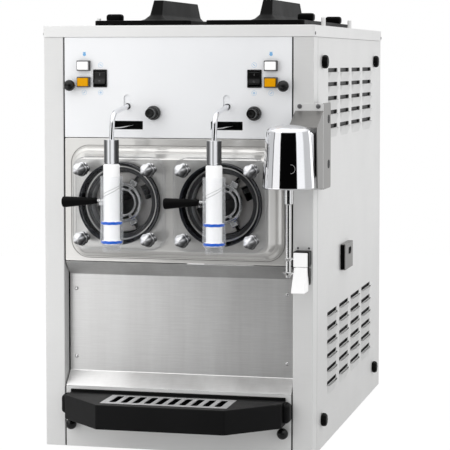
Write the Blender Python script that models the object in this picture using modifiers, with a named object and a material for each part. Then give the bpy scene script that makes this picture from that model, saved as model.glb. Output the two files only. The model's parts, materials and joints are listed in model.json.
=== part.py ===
"""Countertop soft serve machine with two freezing cylinders and a drink spinner.

Metres, +Z up. The front faces -Y, +X is the viewer's right, and the origin is the middle
of the base pan's underside. Each sub-part is one named object in the collection PARTS.
"""

from math import cos, hypot, pi, radians, sin

import bmesh
import bpy
from mathutils import Matrix, Vector

# Body
WIDTH = 0.490
DEPTH = 0.760
CAP_BOTTOM = 0.7355
CAP_TOP = 0.756
CAP_OVERHANG = 0.0015
SHEET = 0.002
GAP = 0.0003
GROUND_CLEARANCE = 0.0005
FRONT = -DEPTH / 2
BACK = DEPTH / 2
SIDE = WIDTH / 2
SKIN_TOP = CAP_BOTTOM - GAP

# Front face: two posts with four panels stacked between them
POST_WIDTH = 0.036
POST_DEPTH = 0.038
POST_RETURN = 0.027
POST_GAP = 0.0024
PANEL_HALF_WIDTH = SIDE - POST_WIDTH - POST_GAP
CONTROL_BOTTOM = 0.5578
FREEZER_BOTTOM = 0.3355
SPLASH_BOTTOM = 0.1101
SPLASH_RECESS = 0.025

# Dispensing heads, one on each side of the middle
HEAD_OFFSET = 0.091
DOOR_Z = 0.445
BOSS_REACH = 0.038
DOOR_BACK = 0.0418
DOOR_FRONT = 0.060
NUT_PITCH = 0.121
CYLINDER_RADIUS = 0.062
CYLINDER_BORE = 0.055
VALVE_REACH = 0.095
VALVE_LIFT = 0.015
VALVE_TURN = radians(90)
HANDLE_Z = 0.4538
HANDLE_DIRECTION = Vector((-cos(radians(3)), 0, -sin(radians(3))))
PIN_DROP = 0.001
PISTON_TOP = 0.5162
PISTON_RADIUS = 0.0142
SEAL_LAND_RADIUS = 0.0176
SEAL_HEIGHTS = (0.3815, 0.4146)
BARREL_RADIUS = 0.0196
BARREL_TOP = 0.4955
VALVE_BORE = 0.0182
VALVE_SEAT = 0.3775
SPOUT_RADIUS = 0.0152
SPOUT_BORE = 0.0130
SPOUT_BOTTOM = 0.365
ROD_RADIUS = 0.0045
ROD_SLOT_Z = 0.613

# Hoppers
FEED_Y = FRONT + 0.215
HOPPER_OFFSET = 0.1067
HOPPER_HALF_WIDTH = 0.0785
HOPPER_FRONT = FRONT + 0.158
HOPPER_BACK = FRONT + 0.628
HOPPER_FLOOR = 0.590
HOPPER_WALL = 0.0015
LID_BOTTOM = 0.7581
LID_TOP = 0.768

# Back and machinery
GLAND_X, GLAND_Z = -0.180, 0.055
FAN_X, FAN_Z = 0.115, 0.155

# Drip tray and drip drawer
TRAY_BOTTOM = 0.057
TRAY_TOP = 0.100
TRAY_WALL = 0.003
DRAWER_FRONT = FRONT + 0.274
DRAWER_BACK = FRONT + 0.360
DRAWER_BOTTOM = 0.300
DRAWER_TOP = 0.349

# Drink spinner and cup switch, on the right post
SPINNER_X = 0.221
SPINNER_REACH = 0.100
SPINNER_BOTTOM = 0.479
BRACKET_LEFT = 0.213
BRACKET_RIGHT = 0.2625
CUP_SWITCH_X = 0.2285

MERGE = 1e-5
UP, FORWARD, BACKWARD = (0, 0, 1), (0, -1, 0), (0, 1, 0)


# ---------------------------------------------------------------- scene and materials

def clear_scene():
    for old in list(bpy.data.objects):
        bpy.data.objects.remove(old)


def material(name, color, roughness, metallic=0.0, alpha=1.0):
    made = bpy.data.materials.new(name)
    made.use_nodes = True
    shader = made.node_tree.nodes["Principled BSDF"]
    shader.inputs["Base Color"].default_value = (*color, 1)
    shader.inputs["Roughness"].default_value = roughness
    shader.inputs["Metallic"].default_value = metallic
    shader.inputs["Alpha"].default_value = alpha
    made.diffuse_color = (*color, alpha)
    return made


clear_scene()
PARTS = bpy.data.collections.new("soft_serve_machine")
CUTTERS = bpy.data.collections.new("cutters")
bpy.context.scene.collection.children.link(PARTS)
bpy.context.scene.collection.children.link(CUTTERS)

STAINLESS = material("stainless", (0.72, 0.72, 0.71), 0.32, 1.0)
PANEL = material("control_panel", (0.86, 0.88, 0.90), 0.35, 0.2)
CHROME = material("chrome", (0.82, 0.82, 0.83), 0.08, 1.0)
CLEAR = material("clear_plastic", (0.90, 0.93, 0.95), 0.05, 0.0, 0.25)
WHITE = material("white_plastic", (0.88, 0.88, 0.87), 0.35)
ORANGE = material("orange_plastic", (0.80, 0.35, 0.01), 0.3)
BLACK = material("black_plastic", (0.012, 0.012, 0.014), 0.4)
RUBBER = material("rubber", (0.015, 0.015, 0.017), 0.7)
IRON = material("painted_iron", (0.05, 0.05, 0.055), 0.5, 0.3)
ALUMINIUM = material("aluminium", (0.70, 0.70, 0.71), 0.45, 1.0)


# ---------------------------------------------------------------- shapes

def from_bmesh(bm):
    bmesh.ops.recalc_face_normals(bm, faces=bm.faces)
    mesh = bpy.data.meshes.new("shape")
    bm.to_mesh(mesh)
    bm.free()
    shape = bpy.data.objects.new("shape", mesh)
    CUTTERS.objects.link(shape)
    return shape


def baked(shape):
    """The mesh that a shape's curve or modifiers make, as a plain object in world space."""
    bpy.context.view_layer.update()
    graph = bpy.context.evaluated_depsgraph_get()
    mesh = bpy.data.meshes.new_from_object(shape.evaluated_get(graph))
    bm = bmesh.new()
    bm.from_mesh(mesh)
    bm.transform(shape.matrix_world)
    bmesh.ops.remove_doubles(bm, verts=bm.verts, dist=MERGE)
    bpy.data.objects.remove(shape)
    return from_bmesh(bm)


def box(low, high, bevel=0.0, segments=1):
    low, high = Vector(low), Vector(high)
    size = high - low
    bm = bmesh.new()
    place = Matrix.Translation((low + high) / 2) @ Matrix.Diagonal((*size, 1))
    bmesh.ops.create_cube(bm, size=1.0, matrix=place)
    if bevel:
        bmesh.ops.bevel(bm, geom=bm.edges[:], offset=bevel, segments=segments,
                        profile=0.5, affect="EDGES")
    return from_bmesh(bm)


def facing(direction):
    return Vector(direction).to_track_quat("Z", "Y").to_matrix().to_4x4()


def rod(start, end, radius, segments=14):
    start, end = Vector(start), Vector(end)
    bm = bmesh.new()
    place = Matrix.Translation((start + end) / 2) @ facing(end - start)
    bmesh.ops.create_cone(bm, cap_ends=True, segments=segments, radius1=radius,
                          radius2=radius, depth=(end - start).length, matrix=place)
    return from_bmesh(bm)


def turned(profile, at, towards=UP, steps=16, ring=False):
    """(radius, height) points, from the far end down the outside, turned about an axis."""
    mesh = bpy.data.meshes.new("profile")
    edges = [(i, i + 1) for i in range(len(profile) - 1)]
    if ring:
        edges.append((len(profile) - 1, 0))
    mesh.from_pydata([(radius, 0, height) for radius, height in profile], edges, [])
    shape = bpy.data.objects.new("turned", mesh)
    CUTTERS.objects.link(shape)
    screw = shape.modifiers.new("Turn", "SCREW")
    screw.steps = steps
    screw.render_steps = steps
    screw.use_merge_vertices = True
    screw.merge_threshold = MERGE
    shape.matrix_world = Matrix.Translation(at) @ facing(towards)
    return baked(shape)


def outline_prism(outline, axis, low, high):
    """A flat outline, given in the plane across an axis, carried from low to high along it."""
    curve = bpy.data.curves.new("outline", "CURVE")
    curve.dimensions = "2D"
    curve.fill_mode = "BOTH"
    curve.extrude = (high - low) / 2
    spline = curve.splines.new("POLY")
    spline.points.add(len(outline) - 1)
    for point, (across, along) in zip(spline.points, outline):
        point.co = (across, along, 0, 1)
    spline.use_cyclic_u = True
    shape = bpy.data.objects.new("prism", curve)
    CUTTERS.objects.link(shape)
    middle = (low + high) / 2
    columns = {
        "X": ((0, 0, 1), (1, 0, 0), (0, 1, 0)),
        "Y": ((1, 0, 0), (0, 0, -1), (0, 1, 0)),
        "Z": ((1, 0, 0), (0, 1, 0), (0, 0, 1)),
    }[axis]
    offset = {"X": (middle, 0, 0), "Y": (0, middle, 0), "Z": (0, 0, middle)}[axis]
    shape.matrix_world = Matrix.Translation(offset) @ Matrix(columns).to_4x4()
    return baked(shape)


def rounded(low, high, radius, arc=3):
    """Points round a rectangle whose corners are arcs, anticlockwise from the lower right."""
    corners = [(high[0], low[1], -90), (high[0], high[1], 0),
               (low[0], high[1], 90), (low[0], low[1], 180)]
    middle = ((low[0] + high[0]) / 2, (low[1] + high[1]) / 2)
    points = []
    for x, y, start in corners:
        centre_x = x - radius if x > middle[0] else x + radius
        centre_y = y - radius if y > middle[1] else y + radius
        for step in range(arc + 1):
            angle = radians(start + 90 * step / arc)
            points.append((centre_x + radius * cos(angle), centre_y + radius * sin(angle)))
    return points


def around(centre, half_width, half_height, radius, arc=3):
    return rounded((centre[0] - half_width, centre[1] - half_height),
                   (centre[0] + half_width, centre[1] + half_height), radius, arc)


def loft(sections):
    """A closed solid through loops that have the same number of points."""
    bm = bmesh.new()
    loops = [[bm.verts.new(point) for point in section] for section in sections]
    count = len(loops[0])
    for first, second in zip(loops, loops[1:]):
        for i in range(count):
            j = (i + 1) % count
            bm.faces.new((first[i], first[j], second[j], second[i]))
    bm.faces.new(loops[0])
    bm.faces.new(loops[-1])
    return from_bmesh(bm)


def bent_rod(points, radius):
    curve = bpy.data.curves.new("rod", "CURVE")
    curve.dimensions = "3D"
    curve.bevel_depth = radius
    curve.bevel_resolution = 2
    curve.use_fill_caps = True
    spline = curve.splines.new("POLY")
    spline.points.add(len(points) - 1)
    for point, place in zip(spline.points, points):
        point.co = (*place, 1)
    shape = bpy.data.objects.new("rod", curve)
    CUTTERS.objects.link(shape)
    return baked(shape)


def grouped(shapes):
    """Several shapes that don't touch, as one object that one Boolean can use."""
    bm = bmesh.new()
    for shape in shapes:
        bm.from_mesh(shape.data)
        bpy.data.objects.remove(shape)
    return from_bmesh(bm)


def combined(operation, base, tools):
    for tool in tools:
        boolean = base.modifiers.new("Combine", "BOOLEAN")
        boolean.operation = operation
        boolean.object = tool
    result = baked(base)
    for tool in tools:
        bpy.data.objects.remove(tool)
    return result


def cut(base, *tools):
    return combined("DIFFERENCE", base, tools)


def join(base, *tools):
    return combined("UNION", base, tools)


def part(name, shape, finish, origin=(0, 0, 0), smooth=30):
    """Name a finished shape, give it its material and put its origin where it turns or slides."""
    mesh = shape.data
    mesh.transform(Matrix.Translation(-Vector(origin)))
    mesh.name = name
    mesh.materials.append(finish)
    mesh.shade_smooth()
    mesh.set_sharp_from_angle(angle=radians(smooth))
    bpy.data.objects.remove(shape)
    made = bpy.data.objects.new(name, mesh)
    made.location = origin
    PARTS.objects.link(made)
    return made


def sides():
    return (("left", -1), ("right", 1))


def mirrored(sign, low, high):
    """A range of X values on the right side, turned into the same range on the side asked for."""
    return (low, high) if sign > 0 else (-high, -low)


# ---------------------------------------------------------------- body

def base_pan():
    half = SIDE - SHEET - 0.0005
    low, high = FRONT + SHEET + 0.001, BACK - SHEET - 0.0005
    pan = box((-half, low, 0), (half, high, 0.014))
    inside = box((-half + SHEET, low + SHEET, SHEET), (half - SHEET, high - SHEET, 0.02))
    post = SIDE - POST_WIDTH
    notches = []
    for _, sign in sides():
        left, right = mirrored(sign, post - GAP, post + SHEET + GAP)
        notches.append(box((left, FRONT, -0.01), (right, FRONT + POST_RETURN + GAP, 0.03)))
    part("base_pan", cut(pan, inside, grouped(notches)), STAINLESS)


def front_posts():
    inner = SIDE - POST_WIDTH
    for side, sign in sides():
        channel = [
            (inner, FRONT + POST_RETURN), (inner, FRONT), (SIDE, FRONT),
            (SIDE, FRONT + POST_DEPTH), (SIDE - SHEET, FRONT + POST_DEPTH),
            (SIDE - SHEET, FRONT + SHEET), (inner + SHEET, FRONT + SHEET),
            (inner + SHEET, FRONT + POST_RETURN),
        ]
        outline = [(sign * x, y) for x, y in channel]
        shape = outline_prism(outline, "Z", GROUND_CLEARANCE, SKIN_TOP)
        part(f"front_post_{side}", shape, STAINLESS)


def top_cap():
    outer = SIDE + CAP_OVERHANG
    cap = box((-outer, FRONT - CAP_OVERHANG, CAP_BOTTOM), (outer, BACK + CAP_OVERHANG, CAP_TOP))
    inner = outer - SHEET
    hollow = box((-inner, FRONT - CAP_OVERHANG + SHEET, CAP_BOTTOM - 0.01),
                 (inner, BACK + CAP_OVERHANG - SHEET, CAP_TOP - SHEET))
    edge = 0.0015
    openings = []
    for _, sign in sides():
        x = sign * HOPPER_OFFSET
        outline = rounded((x - HOPPER_HALF_WIDTH - edge, HOPPER_FRONT - edge),
                          (x + HOPPER_HALF_WIDTH + edge, HOPPER_BACK + edge), 0.022)
        openings.append(outline_prism(outline, "Z", CAP_BOTTOM, CAP_TOP + 0.01))
    cap = cut(cut(cap, hollow), grouped(openings))
    pins = [rod((sign * 0.2174, FRONT + y, CAP_TOP - 0.001),
                (sign * 0.2174, FRONT + y, 0.7745), 0.0041, 12)
            for _, sign in sides() for y in (0.240, 0.528)]
    part("top_cap", join(cap, grouped(pins)), STAINLESS)


LOUVRE_COLUMNS = [(0.139, 0.235), (0.265, 0.363), (0.392, 0.493), (0.522, 0.629)]
LOUVRE_PITCH = 0.0254
LOUVRE_TOPS = ([0.676 - LOUVRE_PITCH * row for row in range(5)]
               + [0.233 - LOUVRE_PITCH * row for row in range(6)])
LOUVRE_HALF_SLOT = 0.003
LOUVRE_SCOOP = 0.017
LOUVRE_BULGE = 0.006


def side_panels():
    for side, sign in sides():
        low, high = mirrored(sign, SIDE - SHEET, SIDE)
        panel = box((low, FRONT + POST_DEPTH + 0.0005, GROUND_CLEARANCE), (high, BACK, SKIN_TOP))
        slots, scoops = [], []
        for start, end in LOUVRE_COLUMNS:
            for z in LOUVRE_TOPS:
                lip = z - LOUVRE_HALF_SLOT
                slots.append(box((low - 0.01, FRONT + start, lip),
                                 (high + 0.01, FRONT + end, z + LOUVRE_HALF_SLOT)))
                outer, root = sign * (SIDE + LOUVRE_BULGE), sign * (SIDE - SHEET / 2)
                wedge = [(root, z), (outer, z), (outer, lip), (root, lip - LOUVRE_SCOOP)]
                scoops.append(outline_prism(wedge, "Y", FRONT + start + 0.001, FRONT + end - 0.001))
        panel = cut(join(panel, grouped(scoops)), grouped(slots))
        knobs = [turned([(0, 0.010), (0.009, 0.010), (0.012, 0.007), (0.012, 0), (0, 0)],
                        (sign * (SIDE - SHEET / 2), FRONT + y, z), (sign, 0, 0), 12)
                 for y in (0.086, 0.671) for z in (0.692, 0.052)]
        panel = join(panel, grouped(knobs))
        if sign > 0:
            opening = box((low - 0.01, DRAWER_FRONT + 0.002, DRAWER_BOTTOM + 0.002),
                          (high + 0.01, DRAWER_BACK - 0.002, DRAWER_TOP - 0.002))
            panel = cut(panel, opening)
        part(f"{side}_side_panel", panel, STAINLESS)


def rear_panel():
    half = SIDE - SHEET - GAP
    panel = box((-half, BACK - SHEET, GROUND_CLEARANCE), (half, BACK, SKIN_TOP))
    vents = [box((x - 0.075, BACK - 0.01, z), (x + 0.075, BACK + 0.01, z + 0.008))
             for x in (-0.105, 0.105) for z in [0.10 + 0.024 * row for row in range(8)]]
    gland_hole = rod((GLAND_X, BACK - 0.01, GLAND_Z), (GLAND_X, BACK + 0.01, GLAND_Z), 0.0112, 16)
    part("rear_panel", cut(panel, grouped(vents + [gland_hole])), STAINLESS)


def power_inlet():
    profile = [(0.0055, 0.010), (0.010, 0.010), (0.015, 0.005), (0.015, GAP), (0.0105, GAP),
               (0.0105, -0.008), (0.0055, -0.008)]
    shape = turned(profile, (GLAND_X, BACK, GLAND_Z), BACKWARD, 16, ring=True)
    part("power_inlet", shape, BLACK)


# ---------------------------------------------------------------- control panel

ROCKER_X = 0.1403
ROCKER_Z = 0.6625
ROCKER_TILT = radians(8)
BUTTON_X = 0.170
WHITE_Z = 0.685
ORANGE_Z = 0.656
KNOB_Z = 0.602
KNOB_OFFSET = 0.0495
SLOT_X = 0.0905


def control_panel():
    y_low, y_high = FRONT, FRONT + SHEET
    panel = box((-PANEL_HALF_WIDTH, y_low, CONTROL_BOTTOM), (PANEL_HALF_WIDTH, y_high, SKIN_TOP))
    bezels, openings = [], []

    def bezel(x, z, half_width, half_height, rim, height, radius):
        outer = around((x, z), half_width, half_height, radius, 1)
        inner = around((x, z), half_width - rim, half_height - rim, radius / 2, 1)
        bezels.append(outline_prism(outer, "Y", y_low - height, y_low + SHEET / 2))
        openings.append(outline_prism(inner, "Y", y_low - 0.02, y_high + 0.01))

    for _, sign in sides():
        bezel(sign * ROCKER_X, ROCKER_Z, 0.01275, 0.01575, 0.00235, 0.0025, 0.0015)
        for z in (WHITE_Z, ORANGE_Z):
            bezel(sign * BUTTON_X, z, 0.0117, 0.00925, 0.0016, 0.008, 0.001)
        slot = around((sign * SLOT_X, 0.62075), 0.0065, 0.01325, 0.0064)
        window = around((sign * SLOT_X, 0.580), 0.027, 0.006, 0.001, 1)
        openings += [outline_prism(o, "Y", y_low - 0.01, y_high + 0.01) for o in (slot, window)]
        knob = (sign * HEAD_OFFSET + KNOB_OFFSET, KNOB_Z)
        openings.append(rod((knob[0], y_low - 0.01, knob[1]), (knob[0], y_high + 0.01, knob[1]),
                            0.0036, 12))
    panel = cut(join(panel, grouped(bezels)), grouped(openings))
    part("control_panel", panel, PANEL)


def rockers():
    pivot_y = FRONT + 0.004
    for side, sign in sides():
        outline = [(-0.0085, 0.0118), (-0.0085, 0.0118 - 0.003), (-0.0068, 0),
                   (-0.0085, -0.0118 + 0.003), (-0.0085, -0.0118), (0, -0.0105),
                   (0.006, -0.004), (0.006, 0.004), (0, 0.0105)]
        shape = outline_prism(outline, "X", -0.0100, 0.0100)
        shape.data.transform(Matrix.Rotation(-ROCKER_TILT, 4, "X"))
        pivot = Vector((sign * ROCKER_X, pivot_y, ROCKER_Z))
        shape.data.transform(Matrix.Translation(pivot))
        part(f"rocker_{side}", shape, BLACK, pivot)


def buttons():
    for side, sign in sides():
        for colour, z, finish in (("white", WHITE_Z, WHITE), ("orange", ORANGE_Z, ORANGE)):
            x = sign * BUTTON_X
            cap = box((x - 0.0097, FRONT - 0.012, z - 0.00725),
                      (x + 0.0097, FRONT + 0.006, z + 0.00725), 0.0008)
            part(f"{colour}_button_{side}", cap, finish, (x, FRONT, z))


def consistency_knobs():
    profile = [(0, 0.030), (0.0070, 0.030), (0.0080, 0.029), (0.0084, 0.013), (0.0115, 0.009),
               (0.0127, 0.0075), (0.0127, 0.0005), (0.003, 0.0005), (0.003, -0.012), (0, -0.012)]
    for side, sign in sides():
        at = (sign * HEAD_OFFSET + KNOB_OFFSET, FRONT, KNOB_Z)
        part(f"consistency_knob_{side}", turned(profile, at, FORWARD, 16), BLACK, at)


# ---------------------------------------------------------------- freezer front

BOSS_STEPS = [
    # reach in front of the panel, half width, half height, height of the middle, corner
    (-0.001, 0.1920, 0.0975, 0.4435, 0.030),
    (0.0090, 0.1908, 0.0963, 0.4435, 0.029),
    (0.0130, 0.1850, 0.0905, 0.4430, 0.024),
    (0.0250, 0.1835, 0.0890, 0.4430, 0.023),
    (0.0350, 0.1760, 0.0830, 0.4415, 0.018),
    (BOSS_REACH, 0.1735, 0.0808, 0.44125, 0.016),
]


def boss(inset, start):
    sections = []
    for reach, half_width, half_height, middle, corner in BOSS_STEPS:
        loop = around((0, middle), half_width - inset, half_height - inset, corner - inset)
        y = FRONT - reach + (inset if reach > 0 else start)
        sections.append([(x, y, z) for x, z in loop])
    return loft(sections)


def freezer_front_panel():
    panel = box((-PANEL_HALF_WIDTH, FRONT, FREEZER_BOTTOM),
                (PANEL_HALF_WIDTH, FRONT + SHEET, CONTROL_BOTTOM - GAP))
    panel = cut(join(panel, boss(0, 0)), boss(SHEET, 0.004))
    holes = [rod((sign * HEAD_OFFSET, FRONT - 0.06, DOOR_Z), (sign * HEAD_OFFSET, FRONT, DOOR_Z),
                 CYLINDER_RADIUS + 0.0009, 28) for _, sign in sides()]
    part("freezer_front_panel", cut(panel, grouped(holes)), STAINLESS)


def freezing_cylinders():
    wall_end, far_end = 0.394, 0.400
    profile = [(CYLINDER_RADIUS, -0.036), (CYLINDER_RADIUS, far_end), (0.0088, far_end),
               (0.0088, wall_end), (CYLINDER_BORE, wall_end), (CYLINDER_BORE, -0.036)]
    for side, sign in sides():
        axis = (sign * HEAD_OFFSET, FRONT, DOOR_Z)
        shell = turned(profile[::-1], axis, BACKWARD, 24, ring=True)
        feed = rod((axis[0], FEED_Y, DOOR_Z + 0.04), (axis[0], FEED_Y, DOOR_Z + 0.07), 0.009, 12)
        part(f"freezing_cylinder_{side}", cut(shell, feed), STAINLESS)


def door_gaskets():
    back, front = BOSS_REACH + GAP, DOOR_BACK - GAP
    profile = [(0.072, front), (0.072, back), (0.065, back), (0.065, front)]
    for side, sign in sides():
        at = (sign * HEAD_OFFSET, FRONT, DOOR_Z)
        part(f"door_gasket_{side}", turned(profile, at, FORWARD, 24, ring=True), RUBBER)


def cam_slot(x):
    """The helical slot that lifts the valve as its handle turns, as a cutter round the valve."""
    sections = []
    steps = 7
    start, sweep = radians(168), radians(177)
    for step in range(steps + 1):
        angle = start + sweep * step / steps
        z = HANDLE_Z - PIN_DROP + VALVE_LIFT * (angle - pi) / VALVE_TURN
        loop = []
        for radius, offset in ((0.015, -0.0030), (0.024, -0.0030), (0.024, 0.0030), (0.015, 0.0030)):
            loop.append((x + radius * cos(angle), FRONT - VALVE_REACH + radius * sin(angle),
                         z + offset))
        sections.append(loop)
    return loft(sections)


def doors():
    for side, sign in sides():
        x = sign * HEAD_OFFSET
        outline = around((x, DOOR_Z), 0.083, 0.0825, 0.025)
        plate = outline_prism(outline, "Y", FRONT - DOOR_FRONT, FRONT - DOOR_BACK)
        web = box((x - 0.012, FRONT - 0.081, 0.386), (x + 0.012, FRONT - DOOR_FRONT + 0.002, 0.490))
        y = FRONT - VALVE_REACH
        barrel = turned([(0, BARREL_TOP), (BARREL_RADIUS, BARREL_TOP), (BARREL_RADIUS, 0.3785),
                         (SPOUT_RADIUS, 0.3745), (SPOUT_RADIUS, SPOUT_BOTTOM), (0, SPOUT_BOTTOM)],
                        (x, y, 0), UP, 20)
        door = join(plate, web, barrel)
        bore = turned([(0, BARREL_TOP + 0.01), (VALVE_BORE, BARREL_TOP + 0.01),
                       (VALVE_BORE, VALVE_SEAT), (SPOUT_BORE, VALVE_SEAT), (SPOUT_BORE, 0.355),
                       (0, 0.355)], (x, y, 0), UP, 20)
        port = rod((x, FRONT - 0.030, 0.401), (x, FRONT - 0.088, 0.401), 0.008, 12)
        half = NUT_PITCH / 2
        holes = [rod((x + i * half, FRONT - 0.030, DOOR_Z + k * half),
                     (x + i * half, FRONT - 0.070, DOOR_Z + k * half), 0.0052, 10)
                 for i in (-1, 1) for k in (-1, 1)]
        door = cut(cut(cut(door, bore), port), grouped(holes))
        part(f"door_{side}", cut(door, cam_slot(x)), CLEAR)


def door_nuts():
    profile = [(0, 0.100), (0.008, 0.0985), (0.0130, 0.0915), (0.0130, 0.083), (0.0085, 0.076),
               (0.0085, 0.0640), (0.0110, DOOR_FRONT + GAP), (0.0040, DOOR_FRONT + GAP),
               (0.0040, BOSS_REACH + GAP), (0, BOSS_REACH + GAP)]
    half = NUT_PITCH / 2
    for side, sign in sides():
        for row, k in (("upper", 1), ("lower", -1)):
            for column, i in (("outer", sign), ("inner", -sign)):
                at = (sign * HEAD_OFFSET + i * half, FRONT, DOOR_Z + k * half)
                part(f"door_nut_{side}_{row}_{column}", turned(profile, at, FORWARD, 10), CHROME)


def beaters():
    shaft_end = 0.445
    for side, sign in sides():
        axis = (sign * HEAD_OFFSET, FRONT, DOOR_Z)
        front_ring = turned([(0.0355, -0.034), (0.0355, -0.020), (0.0300, -0.020), (0.0300, -0.034)],
                            axis, BACKWARD, 20, ring=True)
        front_disc = turned([(0.0525, -0.018), (0.0525, -0.013), (0.0340, -0.013), (0.0340, -0.018)],
                            axis, BACKWARD, 28, ring=True)
        openings = []
        for turn in (65, 245):
            opening = box((-0.013, -0.030, 0.0385), (0.013, 0.0, 0.0500))
            opening.data.transform(Matrix.Translation(axis) @ Matrix.Rotation(radians(turn), 4, "Y"))
            openings.append(opening)
        front_disc = cut(front_disc, grouped(openings))
        hub = turned([(0, shaft_end), (0.008, shaft_end), (0.008, 0.388), (0.046, 0.388),
                      (0.046, 0.380), (0, 0.380)], axis, BACKWARD, 16)
        bars = []
        for blade in range(3):
            turn = (Matrix.Translation(axis) @ Matrix.Rotation(radians(120 * blade + 30), 4, "Y"))
            bar = box((-0.007, -0.030, 0.0335), (0.007, 0.384, 0.045))
            scraper = box((-0.0015, -0.030, 0.044), (0.0015, 0.384, 0.0525))
            bar = join(bar, scraper)
            bar.data.transform(turn)
            bars.append(bar)
        part(f"beater_{side}", join(front_ring, *bars, hub, front_disc), STAINLESS, axis)


# ---------------------------------------------------------------- draw valves

def valve_pistons():
    profile = [(0, PISTON_TOP), (PISTON_RADIUS - 0.002, PISTON_TOP), (PISTON_RADIUS, PISTON_TOP - 0.002)]
    for height in reversed(SEAL_HEIGHTS):
        profile += [(PISTON_RADIUS, height + 0.003), (SEAL_LAND_RADIUS, height + 0.003),
                    (SEAL_LAND_RADIUS, height - 0.003), (PISTON_RADIUS, height - 0.003)]
    profile += [(PISTON_RADIUS, VALVE_SEAT + GAP), (0, VALVE_SEAT + GAP)]
    for side, sign in sides():
        axis = (sign * HEAD_OFFSET, FRONT - VALVE_REACH, 0)
        piston = turned(profile, axis, UP, 20)
        origin = Vector((axis[0], axis[1], HANDLE_Z))
        socket = rod(origin + HANDLE_DIRECTION * 0.020, origin + HANDLE_DIRECTION * 0.004, 0.0024, 8)
        part(f"valve_piston_{side}", cut(piston, socket), WHITE, origin)


def draw_handles():
    grip = [(0, 0.0887), (0.0082, 0.0887), (0.0097, 0.0867), (0.0052, 0.0270), (0.0044, 0.0262),
            (0.0019, 0.0262), (0.0019, 0.0055), (0, 0.0055)]
    for side, sign in sides():
        axis = (sign * HEAD_OFFSET, FRONT - VALVE_REACH, HANDLE_Z)
        shape = turned(grip, axis, HANDLE_DIRECTION, 12)
        part(f"draw_handle_{side}", shape, BLACK, axis)


def draw_rods():
    y = FRONT - VALVE_REACH
    bend_start, bend_corner = (FRONT - 0.070, 0.6050), (FRONT - 0.0875, 0.6030)
    bend_end, foot = (FRONT - 0.0905, 0.5840), (y, 0.559)
    for side, sign in sides():
        x = sign * HEAD_OFFSET
        path = [(x, FRONT + 0.030, ROD_SLOT_Z), (x, FRONT - 0.004, ROD_SLOT_Z - 0.0003)]
        for step in range(5):
            t = step / 4
            path.append((x, *[(1 - t) ** 2 * a + 2 * t * (1 - t) * b + t ** 2 * c
                              for a, b, c in zip(bend_start, bend_corner, bend_end)]))
        path += [(x, *foot), (x, y, 0.553)]
        sleeve = turned([(0, 0.558), (0.0130, 0.558), (0.0130, 0.5228), (0.0085, 0.5205),
                         (0.0085, PISTON_TOP + GAP), (0, PISTON_TOP + GAP)], (x, y, 0), UP, 20)
        origin = (x, y, PISTON_TOP)
        part(f"draw_rod_{side}", join(sleeve, bent_rod(path, ROD_RADIUS)), CHROME, origin)


# ---------------------------------------------------------------- splash area and drip tray

def splash_panel():
    slope = hypot(1, 1) * SHEET
    front, back = FRONT, FRONT + SPLASH_RECESS
    top, bottom = FREEZER_BOTTOM - GAP, SPLASH_BOTTOM
    outline = [
        (front, top), (back, top - SPLASH_RECESS), (back, bottom + SPLASH_RECESS), (front, bottom),
        (front + slope, bottom), (back + SHEET, bottom + SPLASH_RECESS - SHEET / 2),
        (back + SHEET, top - SPLASH_RECESS + SHEET / 2), (front + slope, top),
    ]
    part("splash_panel", outline_prism(outline, "X", -PANEL_HALF_WIDTH, PANEL_HALF_WIDTH), STAINLESS)


def lower_front_panel():
    panel = box((-PANEL_HALF_WIDTH, FRONT, GROUND_CLEARANCE),
                (PANEL_HALF_WIDTH, FRONT + SHEET, SPLASH_BOTTOM - GAP))
    part("lower_front_panel", panel, STAINLESS)


TRAY_BACK = FRONT - 0.0005
GRILLE_BACK, GRILLE_FRONT = FRONT - 0.0200, FRONT - 0.0985
GRILLE_HALF = 0.1135


def tray_outline(inset):
    shoulder, nose = 0.197 - inset, 0.1145 - inset / 2
    return [(shoulder, TRAY_BACK - inset), (-shoulder, TRAY_BACK - inset),
            (-shoulder, FRONT - 0.039 + inset / 2), (-nose, FRONT - 0.119 + inset),
            (nose, FRONT - 0.119 + inset), (shoulder, FRONT - 0.039 + inset / 2)]


def drip_tray():
    tray = outline_prism(tray_outline(0), "Z", TRAY_BOTTOM, TRAY_TOP)
    lip = box((-0.197, TRAY_BACK - 0.004, 0.090), (0.197, TRAY_BACK, 0.105))
    ears = []
    for _, sign in sides():
        low, high = mirrored(sign, 0.192, 0.2085)
        ears.append(box((low, TRAY_BACK - 0.026, 0.063), (high, TRAY_BACK, 0.0985), 0.005))
    cavity = outline_prism(tray_outline(TRAY_WALL), "Z", TRAY_BOTTOM + TRAY_WALL,
                           TRAY_TOP - TRAY_WALL)
    recess = box((-GRILLE_HALF - 0.0005, GRILLE_FRONT - 0.0005, TRAY_TOP - 0.0015),
                 (GRILLE_HALF + 0.0005, GRILLE_BACK + 0.0005, TRAY_TOP + 0.01))
    mouth = box((-GRILLE_HALF + 0.003, GRILLE_FRONT + 0.003, TRAY_TOP - 0.005),
                (GRILLE_HALF - 0.003, GRILLE_BACK - 0.003, TRAY_TOP))
    tray = join(tray, lip, grouped(ears))
    part("drip_tray", cut(tray, cavity, recess, mouth), BLACK)


def drip_grille():
    bottom = TRAY_TOP - 0.0015 + GAP
    plate = box((-GRILLE_HALF, GRILLE_FRONT, bottom), (GRILLE_HALF, GRILLE_BACK, bottom + 0.0015))
    slots = []
    count, pitch, half_slot = 10, 0.0210, 0.0055
    for index in range(count):
        x = (index - (count - 1) / 2) * pitch
        slots.append(box((x - half_slot, GRILLE_FRONT + 0.010, bottom - 0.01),
                         (x + half_slot, GRILLE_BACK - 0.0065, bottom + 0.01)))
    part("drip_grille", cut(plate, grouped(slots)), STAINLESS)


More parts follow.
